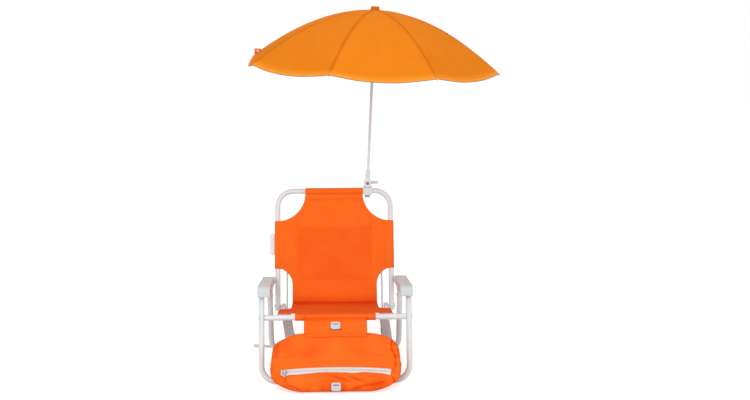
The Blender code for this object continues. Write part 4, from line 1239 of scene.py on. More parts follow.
@dataclass
class SeatSling(TautSheet):
    """The sling's seat: a taut sheet with sleeves round the rails and round the middle of the front bar."""

    flat_columns: int = 36
    slack_half: float = 0.1400
    slack_fade: float = 0.02
    sag: float = 0.0040
    sag_half: float = 0.139
    sag_length: float = 0.262
    pull: float = 0.0005
    pull_size: float = 0.07
    side_seams: tuple = (0.1285, 0.1245)
    side_seam_ends: tuple = (0.022, 0.232)
    bar_seams: tuple = (0.0150, 0.0190)
    bar_seam_half: float = 0.100
    flat_size: tuple = (0.40, 0.34)
    flat_area: float = 0.136
    front_half: float = 0.104
    centre_half: float = 0.1181
    front_rows: tuple = (0.0, 0.006, 0.012, 0.0182)
    sleeve_start: float = 0.0185
    sleeve_end: float = 0.118
    cut_end: float = 0.163
    end: float = 0.2634
    front_sleeve_turn: float = radians(265)
    front_shade: float = 0.12
    front_pull: float = 0.03
    # An even deeper tone, and the painted shade added towards the crease with the back
    tone_and_painted_crease_shade: tuple = (0.35, 0.65)
    rear_fade: tuple = (0.215, 0.045)

    def rows(self) -> list:
        """The sheet's rows, from the front bar to its rear edge.

        Returns:
            How far back each row is, the sheet's half width there, and whether it has sleeves.
        """
        rows = [(y, self.front_half, False) for y in self.front_rows]
        rows += [(y, self.half, True) for y in np.linspace(self.sleeve_start, self.sleeve_end, 18)]
        for turn in np.linspace(radians(6), radians(84), 11):
            back = self.cut_end - (self.cut_end - self.sleeve_end) * cos(turn)
            rows.append((back, self.half - (self.half - self.centre_half) * sin(turn), False))
        return rows + [(y, self.centre_half, False) for y in np.linspace(self.cut_end, self.end, 14)]

    def relief(self, x: np.ndarray, y: np.ndarray) -> np.ndarray:
        """How far the cloth sags under the rails' tops, with no pull where it leaves the front bar.

        Args:
            x: how far across.
            y: how far back.

        Returns:
            The depths.
        """
        pull = self.pull * crumple(np.stack([x, y], -1), self.pull_size)
        return super().relief(x, y) - pull * (1 - fade(y, self.front_pull))

    def shade(self, x: np.ndarray, y: np.ndarray) -> np.ndarray:
        """How dark the cloth is: an even deeper tone, with painted shade towards the crease between seat and
        back.

        Args:
            x: how far across; not used.
            y: how far back.

        Returns:
            The shades.
        """
        start, width = self.rear_fade
        front, more = self.tone_and_painted_crease_shade
        return fade(y - start, width) * more + front

    def front_sleeve(self, work: ClothWork) -> None:
        """Adds the sleeve round the front bar, from its seam behind it to its top.

        Args:
            work: gathers the sheets.
        """
        turns = np.linspace(self.front_sleeve_turn, 0, 18)
        x = np.linspace(-self.front_half, self.front_half, self.flat_columns + 1)
        points = extruded(x, -SLEEVE_RADIUS * np.sin(turns), SLEEVE_RADIUS * np.cos(turns))
        radial = points * np.array([0, 1, 1]) / SLEEVE_RADIUS
        work.add(points, grid(x, -SLEEVE_RADIUS * turns), self.front_shade, normals=radial)

    def build(self, finishes: Finishes) -> list:
        """Makes the seat of the sling.

        Args:
            finishes: the chair's finishes.

        Returns:
            Its pieces.
        """
        work = ClothWork(place=self.place)
        self.lay(work)
        self.front_sleeve(work)
        piece = work.build("seat_sling_cloth")
        finishes.dress(piece, Slot.CHAIR_CLOTH)
        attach(piece, "seat")
        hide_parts("seat_sling")
        stitches = self.sew().build("seat_sling_stitches")
        finishes.dress(stitches, Slot.CHAIR_CLOTH)
        return [piece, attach(stitches, "seat")]


@dataclass
class PouchShell:
    """The pouch's soft shell: its form, the gathered seams by its ends, its creases and sagging corners."""

    half_width: float = 0.166
    back: float = 0.030
    depth: float = 0.112
    height: float = 0.126
    outline_shares: tuple = (
        (0.00, 1.02), (0.20, 1.06), (0.56, 0.80), (0.92, 0.44),
        (1.06, 0.12), (0.90, -0.008), (0.48, -0.008), (0.20, 0.45),
    )
    station_shares: tuple = ((0.0, 1.0), (0.36, 1.0), (0.72, 1.0), (0.93, 0.93), (1.0, 0.62))
    centre_shares: tuple = (0.50, 0.44)
    softening: int = 4
    filling: float = 0.55
    floor: float = 0.0004
    floor_fade: tuple = (0.0030, 0.010)
    girth_radius: float = 0.055
    zipper_half: float = 0.140
    zipper_height: float = 0.070
    zipper_sag: float = 0.008
    still_half: float = 0.0115
    still_over: float = 0.002
    still_fades: tuple = (0.006, 0.016)
    fold_depths: tuple = ((0.0026, 0.095), (0.0010, 0.038))
    fold_lit: float = 0.0036
    seam_at: float = 0.1465
    left_gather: float = 0.4
    groove_depth: float = 0.0026
    groove_width: float = 0.0023
    pucker_depth: float = 0.0016
    pucker_width: float = 0.011
    pucker_pitch: float = 0.0145
    ripple_depth: float = 0.0013
    ripple_pitch: float = 0.036
    ripple_half: float = 0.17
    ripple_fade: tuple = (0.046, 0.03)
    seam_wander: tuple = (0.0052, 0.0018)
    crease_width: float = 0.0026
    ridge_place: float = 0.006
    ridge_width: float = 0.004
    ridge_share: float = 0.6
    creases: tuple = (
        ((-0.131, 0.001), (-0.126, -0.030), 0.0022), ((-0.125, -0.029), (-0.085, -0.035), 0.0013),
        ((-0.038, -0.003), (0.040, -0.022), 0.0014), ((0.018, -0.008), (0.080, -0.024), 0.0012),
        ((0.056, -0.030), (0.134, -0.025), 0.0018), ((0.028, -0.038), (0.072, -0.029), 0.0015),
        ((0.085, 0.070), (0.130, 0.056), 0.0014), ((-0.140, 0.052), (-0.100, 0.068), 0.0012),
        ((0.020, 0.066), (0.052, 0.040), 0.0008), ((-0.075, 0.062), (-0.040, 0.044), 0.0008),
    )
    droop_from: float = 0.085
    low_lift: float = 0.028
    low_fade: tuple = (0.052, 0.05)
    high_drop: float = 0.019
    high_fade: tuple = (0.082, 0.04)
    tone: float = 0.14
    surface: BVHTree | None = None

    def cage(self) -> bpy.types.Mesh:
        """The pouch's coarse form, before it is softened.

        Returns:
            Its mesh.
        """
        outline, middle = np.array(self.outline_shares), np.array(self.centre_shares)
        work = bmesh.new()
        rings = []
        for x, size in [(-x, s) for x, s in self.station_shares[:0:-1]] + list(self.station_shares):
            shares = middle + (outline - middle) * size
            places = [(self.back - y * self.depth, z * self.height) for y, z in shares]
            rings.append([work.verts.new((x * self.half_width, *place)) for place in places])
        for ring, after in zip(rings, rings[1:]):
            for i in range(len(ring)):
                j = (i + 1) % len(ring)
                work.faces.new((ring[i], ring[j], after[j], after[i]))
        work.faces.new(rings[0][::-1])
        work.faces.new(rings[-1])
        mesh = bpy.data.meshes.new("pouch_cage")
        work.to_mesh(mesh)
        work.free()
        return mesh

    def zip_line(self, x: np.ndarray) -> np.ndarray:
        """The zipper's height above the floor."""
        return self.zipper_height - self.zipper_sag * (x / self.zipper_half) ** 2

    def girth(self, co: np.ndarray) -> np.ndarray:
        """Where places on the shell are on its cloth.

        Args:
            co: the places.

        Returns:
            How far each is across, and how far up round the section from the middle of the front.
        """
        middle_y = self.back - self.centre_shares[0] * self.depth
        turn = np.arctan2(co[:, 2] - self.centre_shares[1] * self.height, middle_y - co[:, 1])
        return np.stack([co[:, 0], self.girth_radius * turn], -1)

    def moving(self, x: np.ndarray, z: np.ndarray) -> np.ndarray:
        """Where the cloth is free to fold.

        Args:
            x: how far across each place is.
            z: how high it is.

        Returns:
            0 in the still zone round the zipper, and 1 away from it.
        """
        beside, over = self.still_fades
        above = fade(np.abs(z - self.zip_line(x)) - self.still_half, over)
        return np.maximum(above, fade(np.abs(x) - self.zipper_half - self.still_over, beside))

    def gathers(self, x: np.ndarray, z: np.ndarray) -> tuple[np.ndarray, np.ndarray]:
        """The seams by the ends, where the cloth is gathered.

        Args:
            x: how far across each place is.
            z: how high it is.

        Returns:
            How much of the seam's groove, and how much of the puckers beside it, there is at each place.
        """
        wide, small = self.seam_wander
        seam = self.seam_at + wide * np.sin(z * 88 + np.sign(x)) + small * np.sin(z * 230)
        off = np.abs(x) - seam
        strength = np.where(x > 0, 1.0, self.left_gather)
        ruffle = np.sin(z * 2 * pi / self.pucker_pitch + 2.4 * np.sin(z * 46))
        return strength * bell(off, self.groove_width), strength * bell(off, self.pucker_width) * ruffle

    def creased(self, girth: np.ndarray) -> tuple[np.ndarray, np.ndarray]:
        """The sharp creases.

        Args:
            girth: places on the shell, across it and round it.

        Returns:
            How far each place sinks in, with the cloth pushed up beside each crease, and how much painted
            shade falls in it.
        """
        deep, dark = np.zeros(len(girth)), np.zeros(len(girth))
        for start, end, depth in self.creases:
            length = np.linalg.norm(np.subtract(end, start))
            ahead = np.subtract(end, start) / length
            share = ((girth - start) @ ahead) / length
            aside = (girth - start) @ np.array([-ahead[1], ahead[0]])
            along = np.clip(share * 4, 0, 1) * np.clip((1 - share) * 4, 0, 1)
            cut = bell(aside, self.crease_width) * along
            ridge = bell(aside - self.ridge_place, self.ridge_width) * along
            deep += depth * (cut - self.ridge_share * ridge)
            dark += cut
        return deep, dark

    def slack(self, co: np.ndarray, normals: np.ndarray) -> tuple[np.ndarray, np.ndarray]:
        """The folds of the soft shell.

        Args:
            co: places on the smooth form.
            normals: the direction out of it there.

        Returns:
            How far each place moves out, and how dark it is: painted shade in the seam grooves, the puckers'
            and ripples' troughs, the fold hollows and the creases, and painted highlight, below 0, on the
            puckers and fold crests, over an even deeper tone.
        """
        x, z = co[:, 0], co[:, 2]
        girth = self.girth(co)
        (wide, wide_size), (small, small_size) = self.fold_depths
        folds = wide * crumple(girth, wide_size) + small * crumple(girth + 0.3, small_size)
        folds = folds * fade(3.0 - np.abs(girth[:, 1]) / self.girth_radius, 0.5)
        groove, pucker = self.gathers(x, z)
        ripple_top, ripple_width = self.ripple_fade
        low = fade(ripple_top - z, ripple_width)
        ripple = np.sin(x * 2 * pi / self.ripple_pitch + 2.3 * np.sin(x * 33))
        ripple = low * ripple * fade(self.ripple_half - np.abs(x), self.ripple_half)
        crease, dark = self.creased(girth)
        front = np.clip(-normals[:, 1] * 2 + 0.3, 0, 1)
        out = folds + self.pucker_depth * pucker + self.ripple_depth * ripple * front
        out = out - self.groove_depth * groove - crease
        # Painted shade in the seam grooves, pucker and ripple troughs, fold hollows and creases
        shade = 0.95 * groove + np.clip(-pucker, 0, 1) * 0.30 + fade(-folds, self.fold_lit) * 0.45
        shade += 0.40 * low * np.clip(-ripple, 0, 1) + 0.7 * dark
        # Painted highlight on the pucker and fold crests
        lit = np.clip(pucker, 0, 1) * 0.5 + fade(folds, self.fold_lit) * 0.40
        moving = self.moving(x, z)
        dark_or_lit = np.clip(self.tone + (shade - lit * (shade < 0.2)) * moving, -1, 1)
        low, width = self.floor_fade
        return out * moving * fade(z - low, width), dark_or_lit

    def droop(self, co: np.ndarray) -> np.ndarray:
        """How far the soft corners of the ends stand up from the floor, and sink at the top.

        Args:
            co: places on the shell.

        Returns:
            How far each of them moves up.
        """
        x, _, z = np.abs(co).T
        share = fade(x - self.droop_from, self.half_width - self.droop_from)
        (low, low_width), (high, high_width) = self.low_fade, self.high_fade
        lift = self.low_lift * share ** 1.7 * fade(low - z, low_width) ** 1.3
        return lift - self.high_drop * share ** 1.4 * fade(z - high, high_width)

    def build(self, finishes: Finishes) -> bpy.types.Object:
        """Makes the shell, and keeps its surface for what lies on it.

        Args:
            finishes: the chair's finishes.

        Returns:
            The shell, riding on the seat.
        """
        cage = link("pouch_cage", self.cage())
        soften = cage.modifiers.new("softening", "SUBSURF")
        soften.levels = soften.render_levels = self.softening
        graph = bpy.context.evaluated_depsgraph_get()
        graph.update()
        mesh = bpy.data.meshes.new_from_object(cage.evaluated_get(graph))
        bpy.data.objects.remove(cage, do_unlink=True)
        mesh.name = "pouch_shell"
        co = np.array([tuple(v.co) for v in mesh.vertices])
        normals = np.array([tuple(v.normal) for v in mesh.vertices])
        out, shade = self.slack(co, normals)
        co = co + normals * out[:, None]
        co[:, 2] = np.maximum(co[:, 2] + self.droop(co), self.floor)
        mesh.vertices.foreach_set("co", co.ravel())
        mesh.update()
        store(mesh, np.concatenate([self.girth(co), np.zeros((len(co), 1))], 1), shade)
        mesh.shade_smooth()
        piece = link("pouch_shell", mesh)
        finishes.dress(piece, Slot.CHAIR_CLOTH)
        graph.update()
        self.surface = BVHTree.FromObject(piece, bpy.context.evaluated_depsgraph_get())
        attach(piece, "seat")
        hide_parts("pouch")
        return piece

    def on_shell(self, point: Vector, gap: float) -> Vector:
        """The nearest place on the shell, so far off it."""
        spot, out, _, _ = self.surface.find_nearest(point)
        return spot + out * gap

    def by_zipper(self, x: float, up: float, gap: float) -> Vector:
        """A place so far over the zipper's line, and so far off the shell."""
        face = self.back - self.depth
        return self.on_shell(Vector((x, face + up, float(self.zip_line(np.array(x))) + up)), gap)


@dataclass
class Zipper:
    """The zipper across the pouch: its tape, its teeth and the rolled edges of cloth round it."""

    shell: PouchShell
    tape_width: float = 0.011
    tape_gap: float = 0.0011
    mark_share: float = 0.3
    mark_shade: float = 0.6
    tooth_radius: float = 0.00045
    tooth_half: float = 0.0014
    tooth_gaps: tuple = (0.0010, 0.0017, 0.0010)
    tooth_pitch: float = 0.0015
    tooth_lean: float = 0.0003
    tooth_ends: tuple = (0.006, 0.004)
    welt_gap: float = 0.0006
    welt_reach: float = 0.0015
    cloth_shade: float = 0.3

    def tape(self, finishes: Finishes) -> bpy.types.Object:
        """The tape, with the line of its teeth marked in its shade.

        Args:
            finishes: the chair's finishes.

        Returns:
            The tape, riding on the seat.
        """
        half = self.tape_width / 2
        across = np.linspace(-half, half, 7)
        along = np.linspace(-self.shell.zipper_half, self.shell.zipper_half, 81)
        points = [[tuple(self.shell.by_zipper(x, up, self.tape_gap)) for x in along] for up in across]
        shades = (np.abs(across) / half < self.mark_share) * self.mark_shade
        work = ClothWork()
        work.add(np.array(points), grid(along, across)[..., ::-1], shades[:, None])
        tape = work.build("zipper_tape_cloth")
        finishes.dress(tape, Slot.ZIPPER_CLOTH)
        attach(tape, "seat")
        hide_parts("zipper_tape")
        return tape

    def teeth(self, finishes: Finishes) -> bpy.types.Object:
        """The teeth, which lean to one side and the other in turn.

        Args:
            finishes: the chair's finishes.

        Returns:
            The teeth, riding on the seat.
        """
        work = RoundWork(self.tooth_radius, 5, self.cloth_shade)
        left, right = self.tooth_ends
        half = self.shell.zipper_half
        for i, x in enumerate(np.arange(left - half, half - right, self.tooth_pitch)):
            lean = self.tooth_lean * (-1) ** i
            ups = (-self.tooth_half, 0, self.tooth_half)
            work.rod([self.shell.by_zipper(x, up + lean, gap) for up, gap in zip(ups, self.tooth_gaps)])
        teeth = work.build("zipper_teeth")
        finishes.dress(teeth, Slot.ZIPPER_CLOTH)
        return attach(teeth, "seat")

    def welts(self, finishes: Finishes) -> bpy.types.Object:
        """The rolled edge of cloth round the zipper.

        Args:
            finishes: the chair's finishes.

        Returns:
            The edge, riding on the seat.
        """
        half, reach = self.tape_width / 2 + self.welt_gap, self.shell.zipper_half + self.welt_reach
        round_it = [(x, half) for x in np.linspace(-reach, reach, 70)]
        round_it += [(reach, up) for up in np.linspace(half, -half, 6)[1:-1]]
        round_it += [(x, -half) for x in np.linspace(reach, -reach, 70)]
        round_it += [(-reach, up) for up in np.linspace(-half, half, 6)[1:]]
        work = RoundWork(shade=self.cloth_shade)
        work.rod([self.shell.by_zipper(x, up, self.welt_gap) for x, up in round_it])
        piece = work.build("zipper_welts")
        finishes.dress(piece, Slot.CHAIR_CLOTH)
        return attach(piece, "seat")

    def build(self, finishes: Finishes) -> list:
        """Makes the zipper and gives its pieces."""
        return [self.tape(finishes), self.teeth(finishes), self.welts(finishes)]


@dataclass
class PouchNeck:
    """The cloth between the seat's front bar and the pouch, sewn down at both ends."""

    shell: PouchShell
    half: float = 0.081
    bar_radius: float = 0.0097
    bar_turns: tuple = (55, 40, 25, 12, 0)
    bar_gap: float = 0.0009
    landing_share: float = 0.2
    landing_length: float = 0.014
    landing_drop: float = 0.004
    gap: float = 0.0012
    columns: int = 32
    flutter: float = 0.0012

    def rows(self) -> np.ndarray:
        """The cloth's rows: off the front bar, down to the pouch and a little way over it.

        Returns:
            Its points, rows by columns by 3.
        """
        shell = self.shell
        top = SEAT_PLACE @ Vector((0, -SLEEVE_RADIUS - self.bar_gap, 0))
        over_pouch = Vector((0, shell.back - shell.depth * self.landing_share, 2 * shell.height))
        landing = shell.on_shell(over_pouch, self.gap)
        reach = self.bar_radius
        line = [SEAT_PLACE @ Vector((0, -reach * cos(a), reach * sin(a))) for a in np.radians(self.bar_turns)]
        line += [top.lerp(landing, share) for share in np.linspace(0.08, 1, 12)]
        x = np.linspace(-self.half, self.half, self.columns + 1)
        rows = [[Vector((a, p.y, p.z)) for a in x] for p in line]
        for share in np.linspace(0.1, 1, 5):
            probe = landing + Vector((0, -self.landing_length * share, -self.landing_drop * share))
            rows.append([shell.on_shell(Vector((a, probe.y, probe.z)), self.gap) for a in x])
        return np.array([[tuple(p) for p in row] for row in rows])

    def build(self, finishes: Finishes) -> list:
        """Makes the neck and its stitches.

        Args:
            finishes: the chair's finishes.

        Returns:
            Its pieces.
        """
        points = self.rows()
        middle = self.columns // 2
        x, reach = points[0, :, 0], reach_along(points[:, middle])
        places = grid(x, reach)
        edge = fade(np.abs(x) - 0.05, 0.03)[None, :] * np.sin(reach / reach[-1] * pi)[:, None]
        points[..., 1] += self.flutter * edge * np.sin(places[..., 1] * 300 + places[..., 0] * 60)
        # Painted shade along the fold where the cloth leaves the front bar, over an even deeper tone
        crease = reach[len(self.bar_turns)]
        work = ClothWork()
        work.add(points, places, np.clip(bell(reach - crease, 0.006)[:, None] * 0.7 + 0.15, 0, 1))
        piece = work.build("pouch_neck_cloth")
        finishes.dress(piece, Slot.CHAIR_CLOTH)
        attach(piece, "seat")
        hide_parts("pouch_neck")
        stitches = Stitching()
        for row in points[-2:, 1:-1]:
            stitches.row([Vector(point) + Vector((0, -0.0003, 0.0003)) for point in row])
        sewn = stitches.build("pouch_neck_stitches")
        finishes.dress(sewn, Slot.CHAIR_CLOTH)
        return [piece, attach(sewn, "seat")]


@dataclass
class Pouch:
    """The zipped pouch: its shell, zipper and neck, and the catch of its upper buckle."""

    catch_half: float = 0.0138
    catch_drop: float = 0.0045
    catch_height: float = 0.0035
    catch_depth: float = 0.0018

    def catch(self, finishes: Finishes) -> bpy.types.Object:
        """The dark keeper that curves under the upper buckle.

        Args:
            finishes: the chair's finishes.

        Returns:
            The keeper, riding on the seat.
        """
        low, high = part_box("buckle_upper")
        middle = Vector(((low.x + high.x) / 2, low.y + self.catch_depth, low.z + self.catch_height))
        turns = np.linspace(pi, 2 * pi, 17)
        work = RoundWork()
        work.rod([middle + Vector((self.catch_half * cos(t), 0, self.catch_drop * sin(t))) for t in turns])
        piece = work.build("buckle_catch")
        finishes.dress(piece, Slot.DARK_STEEL)
        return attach(piece, "seat")

    def build(self, finishes: Finishes) -> list:
        """Makes the pouch and all that is sewn on it.

        Args:
            finishes: the chair's finishes.

        Returns:
            Its pieces.
        """
        shell = PouchShell()
        made = [shell.build(finishes)]
        made += Zipper(shell).build(finishes)
        made += PouchNeck(shell).build(finishes)
        return made + [self.catch(finishes)]


def rounded_path(points: list, radii: list, steps: int = 8) -> list:
    """A line of points with an arc at each corner.

    Args:
        points: the corners, as vectors.
        radii: the arc's radius at each, or 0 for none.
        steps: how many parts an arc has.

    Returns:
        The rounded line.
    """
    path = []
    for i, (corner, radius) in enumerate(zip(points, radii)):
        if not radius:
            path.append(corner.copy())
            continue
        before, after = ((points[k] - corner).normalized() for k in (i - 1, i + 1))
        half = before.angle(after) / 2
        reach = radius / np.tan(half)
        middle = corner + (before + after).normalized() * (radius / sin(half))
        start, end = corner + before * reach - middle, corner + after * reach - middle
        turn = start.angle(end)
        for share in np.linspace(0, 1, steps + 1):
            path.append(middle + (start * sin((1 - share) * turn) + end * sin(share * turn)) / sin(turn))
    return path


@dataclass
class CarryStrap:
    """One carrying strap of webbing, from the back of the sling down behind the seat and up under it."""

    way: int = -1
    width: float = 0.027
    thickness: float = 0.0016
    gap: float = 0.0003
    half_spacing: float = 0.135
    top: float = 0.200
    swing: float = 0.034
    bend: float = 0.024
    end_bend: float = 0.010
    sewn: float = 0.030
    floor_gap: float = 0.012
    step: float = 0.006
    twisted: tuple = (0.032, 0.318)
    twist_angle: float = radians(82)
    twist_length: float = 0.055
    lean: float = 0.14
    lean_height: float = 0.100
    lean_length: float = 0.06
    loop_radius: float = 0.0089
    tail_length: float = 0.104
    tail_half: float = 0.011
    tail_start: tuple = (0.010, 0.0105)
    tail_reach: float = 0.103

    def twist(self, reach: np.ndarray) -> np.ndarray:
        """How far the strap is turned on itself: it hangs edge on behind the back, and flat elsewhere.

        Args:
            reach: how far along the strap.

        Returns:
            The angles.
        """
        start, end = self.twisted
        both = np.minimum(fade(reach - start, self.twist_length), fade(end - reach, self.twist_length))
        return self.way * self.twist_angle * eased(both)

    def sideways(self, line: np.ndarray, reach: np.ndarray) -> np.ndarray:
        """How far to the side the strap's middle is: both lean to the right near the floor, under the seat.

        Args:
            line: the strap's middle line.
            reach: how far along the strap each of its points is.

        Returns:
            The distances from the chair's middle.
        """
        low = np.clip(self.lean_height - line[:, 2], 0, self.lean_height)
        under = fade(reach - self.twisted[1] + self.lean_length, self.lean_length)
        return self.way * self.half_spacing + self.lean * low * under

    def loop(self, work: ClothWork) -> None:
        """Adds the end of the strap, sewn round the seat's rail.

        Args:
            work: gathers the sheets.
        """
        turns = np.linspace(0, 2 * pi, 29)
        end = SEAT_DEPTH - self.swing
        along = np.linspace(end - self.sewn, end, 6)
        radial = np.stack([np.sin(turns), 0 * turns, np.cos(turns)], -1) + np.zeros((len(along), 1, 1))
        points = radial * self.loop_radius + np.array([self.way * SEAT_HALF_WIDTH, 0, 0])
        points[..., 1] += along[:, None]
        places = grid(turns * self.loop_radius, along)[..., ::-1]
        matrix = np.array(SEAT_PLACE, float)
        points = points @ matrix[:3, :3].T + matrix[:3, 3]
        work.add(points, places, normals=radial @ matrix[:3, :3].T)

    def tail(self, work: ClothWork) -> None:
        """Adds the strap's free end, which lies on the floor beside the rear leg and ends in a fold.

        Args:
            work: gathers the sheets.
        """
        share = np.linspace(0, 1, 25)
        inward, forward = self.tail_start
        x = -self.half_spacing + inward - self.tail_reach * share
        y = BACK_PLACE.translation.y - forward - 0.006 * np.sin(share * 3.0)
        fall = fade(share - 0.12, 0.38)
        z = self.thickness * (1 + np.sin(share * 9) * fall * (1 - share)) + 0.0130 * (1 - eased(fall))
        across = np.linspace(-self.tail_half, self.tail_half, 7)
        points = np.stack([x, y, z], -1)[:, None, :] + across[None, :, None] * np.array([0.0, -1.0, 0.06])
        work.add(points, grid(across, share * self.tail_length))

    def path(self) -> list:
        """The strap's middle line, seen from the side.

        Returns:
            Its points, as vectors.
        """
        lift = self.gap + self.thickness / 2
        behind = lift + CLOTH - TUBE_RADIUS - self.gap
        end = SEAT_DEPTH - self.swing
        under = -SLEEVE_RADIUS - lift
        start, leave = (BACK_PLACE @ Vector((0, behind, self.top - sewn)) for sewn in (0, self.sewn))
        arrive, last = (SEAT_PLACE @ Vector((0, end - sewn, under)) for sewn in (0, self.sewn))
        swing = start + Vector((0, self.swing, -self.top / 2))
        foot = Vector((0, BACK_PLACE.translation.y + self.swing / 2, self.floor_gap))
        front = Vector((0, arrive.y, self.floor_gap))
        radii = [0, self.bend, self.bend, self.bend, self.bend, self.end_bend, 0]
        return rounded_path([start, leave, swing, foot, front, arrive, last], radii)

    def fine_line(self) -> np.ndarray:
        """The middle line in short steps.

        Returns:
            Its points, one row each.
        """
        path = self.path()
        fine = []
        for a, b in zip(path, path[1:]):
            parts = max(1, round((b - a).length / self.step))
            fine += [tuple(a.lerp(b, k / parts)) for k in range(parts)]
        return np.array(fine + [tuple(path[-1])])

    def build(self, finishes: Finishes) -> list:
        """Makes the strap.

        Args:
            finishes: the chair's finishes.

        Returns:
            Its pieces.
        """
        word = "left" if self.way < 0 else "right"
        line = self.fine_line()
        reach = reach_along(line)
        ahead = np.gradient(line, axis=0)
        ahead /= np.linalg.norm(ahead, axis=1, keepdims=True)
        sideways = np.array([1.0, 0.0, 0.0])
        out = np.cross(sideways, ahead)
        turn = self.twist(reach)[:, None]
        aside = sideways * np.cos(turn) + out * np.sin(turn)
        face = out * np.cos(turn) - sideways * np.sin(turn)
        line[:, 0] = self.sideways(line, reach)
        across = np.linspace(-self.width / 2, self.width / 2, 9)
        normals = np.repeat(face[:, None, :], len(across), 1)
        points = line[:, None, :] + across[None, :, None] * aside[:, None, :] + normals * self.thickness / 2
        work = ClothWork(self.thickness)
        work.add(points, grid(across, reach), normals=normals)
        self.loop(work)
        if self.way < 0:
            self.tail(work)
        piece = work.build(f"carry_strap_{word}")
        finishes.dress(piece, Slot.WEBBING)
        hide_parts(f"strap_{word}")
        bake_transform(piece)
        return [piece]


@dataclass
class SideTag:
    """The plain folded tag sewn into the left side seam of the back. Nothing is written on it."""

    low: float = 0.144
    high: float = 0.204
    thickness: float = 0.0003
    gap: float = 0.0003
    width: float = 0.014
    half_outline: tuple = (0, 0.004, 0.008, 0.0115, 0.0134)
    tip: float = 0.0138
    depths: tuple = (-0.4, -0.5, -0.6, -0.65, -0.5, 0, 0.5, 0.65, 0.6, 0.5, 0.4)
    curl: float = 0.0012
    seam: float = 0.0022

    def build(self, finishes: Finishes) -> list:
        """Makes the tag.

        Args:
            finishes: the chair's finishes.

        Returns:
            Its pieces.
        """
        root = BACK_HALF_WIDTH + SLEEVE_RADIUS + self.gap
        out = np.array([*self.half_outline, self.tip, *self.half_outline[::-1]])
        depth = np.array(self.depths) * 1e-3
        heights = np.linspace(self.low, self.high, 25)
        grid_out, grid_z = np.meshgrid(out, heights)
        share = (grid_z - self.low) / (self.high - self.low)
        grid_y = depth + self.curl * np.sin(share * 2.6) * (grid_out / self.width) ** 2
        points = np.stack([-(root + grid_out), grid_y, grid_z], -1)[:, ::-1]
        reach = reach_along(np.stack([out, depth], -1))
        work = ClothWork(self.thickness, BACK_PLACE)
        work.add(points, grid(reach, heights), 0.7 * bell(grid_out - self.seam, 0.0006))
        piece = work.build("side_tag_cloth")
        finishes.dress(piece, Slot.TAG_CLOTH)
        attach(piece, "back")
        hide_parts("side_tag")
        return [piece]


@dataclass
class ChairFrame:
    """The tubes, arm rests, bolts, clamp and umbrella frame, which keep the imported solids."""

    painted: tuple = (
        "seat_frame", "back_frame", "front_legs", "rear_legs", "bracket", "clamp_body", "knuckle", "pole"
    )
    arms: tuple = ("arm_left", "arm_right")
    moulded: tuple = ("top_cap", "crown", "runner", "clamp_screw", "tilt_lever", "buckle")
    dark: tuple = ("zip_slider", "zip_pull", "tilt_screw")
    leg_pivot: tuple = (0.1747, 0.215005, 0.113129)
    leg_lean: float = radians(12.4)
    rivet_heights: tuple = (0.0865, 0.0665)
    rivet_radius: float = 0.0036
    rivet_dome: tuple = ((-0.0004, 1.0), (0.0006, 0.96), (0.0013, 0.72), (0.0017, 0.30))

    def slot(self, name: str) -> Slot:
        """The slot that a solid takes its finish from.

        Args:
            name: the solid's name.

        Returns:
            The slot.
        """
        if name.startswith(self.painted):
            return Slot.WHITE_PAINT
        if name in self.arms or name.startswith(self.moulded):
            return Slot.GREY_PLASTIC
        return Slot.DARK_STEEL if name.startswith(self.dark) else Slot.STEEL

    def rivets(self, word: str, way: int, finishes: Finishes) -> bpy.types.Object:
        """The domed rivets under an arm rest, on the inner face of the rear leg.

        Args:
            word: left or right.
            way: -1 for the left and 1 for the right.
            finishes: the chair's finishes.

        Returns:
            The rivets, riding on the rear legs.
        """
        x, y, z = self.leg_pivot
        work = RoundWork(self.rivet_radius, 14)
        ahead, up, inward = Vector((0, 1, 0)), Vector((0, 0, -way)), Vector((-way, 0, 0))
        for height in self.rivet_heights:
            along = Vector((0, -sin(self.leg_lean), cos(self.leg_lean))) * height
            place = Vector((way * (x - TUBE_RADIUS), y, z)) + along
            dome = [(place + inward * deep, size) for deep, size in self.rivet_dome]
            work.through([work.ring(middle, ahead, up, size) for middle, size in dome])
        piece = work.build(f"arm_rivets_{word}")
        finishes.dress(piece, Slot.STEEL)
        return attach(piece, "rear_legs")

    def dress(self, finishes: Finishes) -> list:
        """Gives every solid that still shows its finish, and adds the rivets.

        Args:
            finishes: the chair's finishes.

        Returns:
            The dressed solids and the rivets.
        """
        shown = {name: node for name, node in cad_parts.items() if not node.hide_render}
        for name, node in shown.items():
            finishes.dress(node, self.slot(name))
        return [*shown.values(), self.rivets("left", -1, finishes), self.rivets("right", 1, finishes)]


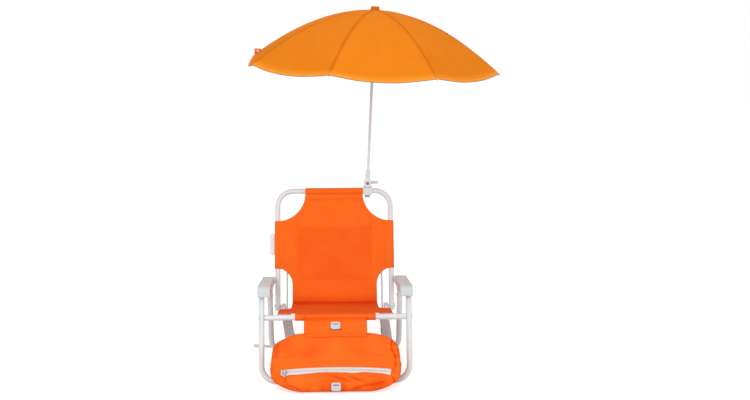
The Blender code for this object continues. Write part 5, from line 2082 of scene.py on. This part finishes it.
@dataclass
class Studio:
    """Pale floor, soft lamps and the camera at the photograph's angle."""

    floor_half: float = 30.0
    floor_level: float = -0.0004
    floor_glow: float = 0.58
    sky_strength: float = 0.52
    lamps: tuple = (
        ("key_lamp", (-1.2, -2.8, 2.2), 2.0, 56.0),
        ("side_lamp", (2.2, -2.0, 1.6), 2.0, 20.0),
        ("top_lamp", (0.2, 0.6, 3.0), 2.4, 20.0),
    )
    lamp_aim: tuple = (0, 0.2, 0.4)
    camera_place: tuple = (-0.0146, -3.047, 1.098)
    camera_turn: tuple = (90 - 11.47, 0.0, -2.16)
    camera_lens: float = 59.9
    camera_film: float = 36.0

    def floor(self) -> None:
        """The floor, white to the camera, with the chair's soft shadow on it."""
        half = self.floor_half
        corners = [(-half, -half, 0), (half, -half, 0), (half, half, 0), (-half, half, 0)]
        floor = link("studio_floor", mesh_of("studio_floor", corners, [(0, 1, 2, 3)]))
        floor.location.z = self.floor_level
        fixed = {"Roughness": 0.9, "Specular IOR Level": 0.0, "Emission Strength": self.floor_glow}
        painter = Painter("studio_floor", fixed)
        smudge = painter.noise(painter.place(), 3, 2)
        painter.feed("Base Color", painter.mix(smudge, grey(0.80), grey(0.82)))
        painter.feed("Emission Color", painter.mix(painter.seen(), grey(0), grey(1)))
        floor.data.materials.append(painter.material)

    def sky(self) -> None:
        """The room's even light, white where it is seen."""
        world = bpy.data.worlds.new("studio_room")
        world.use_nodes = True
        bpy.context.scene.world = world
        background = world.node_tree.nodes["Background"]
        background.inputs["Color"].default_value = grey(1)
        seen = Nodes(world.node_tree).seen().between(0.0, 1.0)
        strength = seen * (1 - self.sky_strength) + self.sky_strength
        world.node_tree.links.new(strength.socket, background.inputs["Strength"])

    def lamp(self, name: str, place: tuple, size: float, power: float) -> None:
        """One square lamp, aimed at the middle of the chair.

        Args:
            name: its name.
            place: where it hangs.
            size: how wide it is.
            power: its power in watts.
        """
        light = bpy.data.lights.new(name, "AREA")
        light.size = size
        light.energy = power
        lamp = link(name, light)
        lamp.location = place
        lamp.rotation_euler = (Vector(self.lamp_aim) - Vector(place)).to_track_quat("-Z", "Y").to_euler()

    def camera(self) -> None:
        """The camera, with the photograph's long lens and its look down on the seat."""
        lens = bpy.data.cameras.new("camera")
        lens.lens = self.camera_lens
        lens.sensor_width = self.camera_film
        camera = link("camera", lens)
        camera.location = self.camera_place
        camera.rotation_euler = [radians(angle) for angle in self.camera_turn]
        bpy.context.scene.camera = camera

    def build(self) -> None:
        """Sets the room up."""
        self.floor()
        self.sky()
        for lamp in self.lamps:
            self.lamp(*lamp)
        self.camera()
        bpy.context.scene.view_settings.view_transform = "Standard"


def main() -> None:
    """Builds every sub-assembly in order and reports its pieces."""
    logging.basicConfig(level=logging.INFO, format="%(name)s: %(message)s")
    finishes = Finishes()
    works = [Canopy(), BackSling(), SeatSling(), Pouch(), CarryStrap(-1), CarryStrap(1), SideTag()]
    for work in works:
        for piece in work.build(finishes):
            LOG.info("%s: %s, %d faces", type(work).__name__, piece.name, len(piece.data.polygons))
    for piece in ChairFrame().dress(finishes):
        LOG.info("ChairFrame: %s", piece.name)
    Studio().build()


if __name__ == "__main__":
    main()
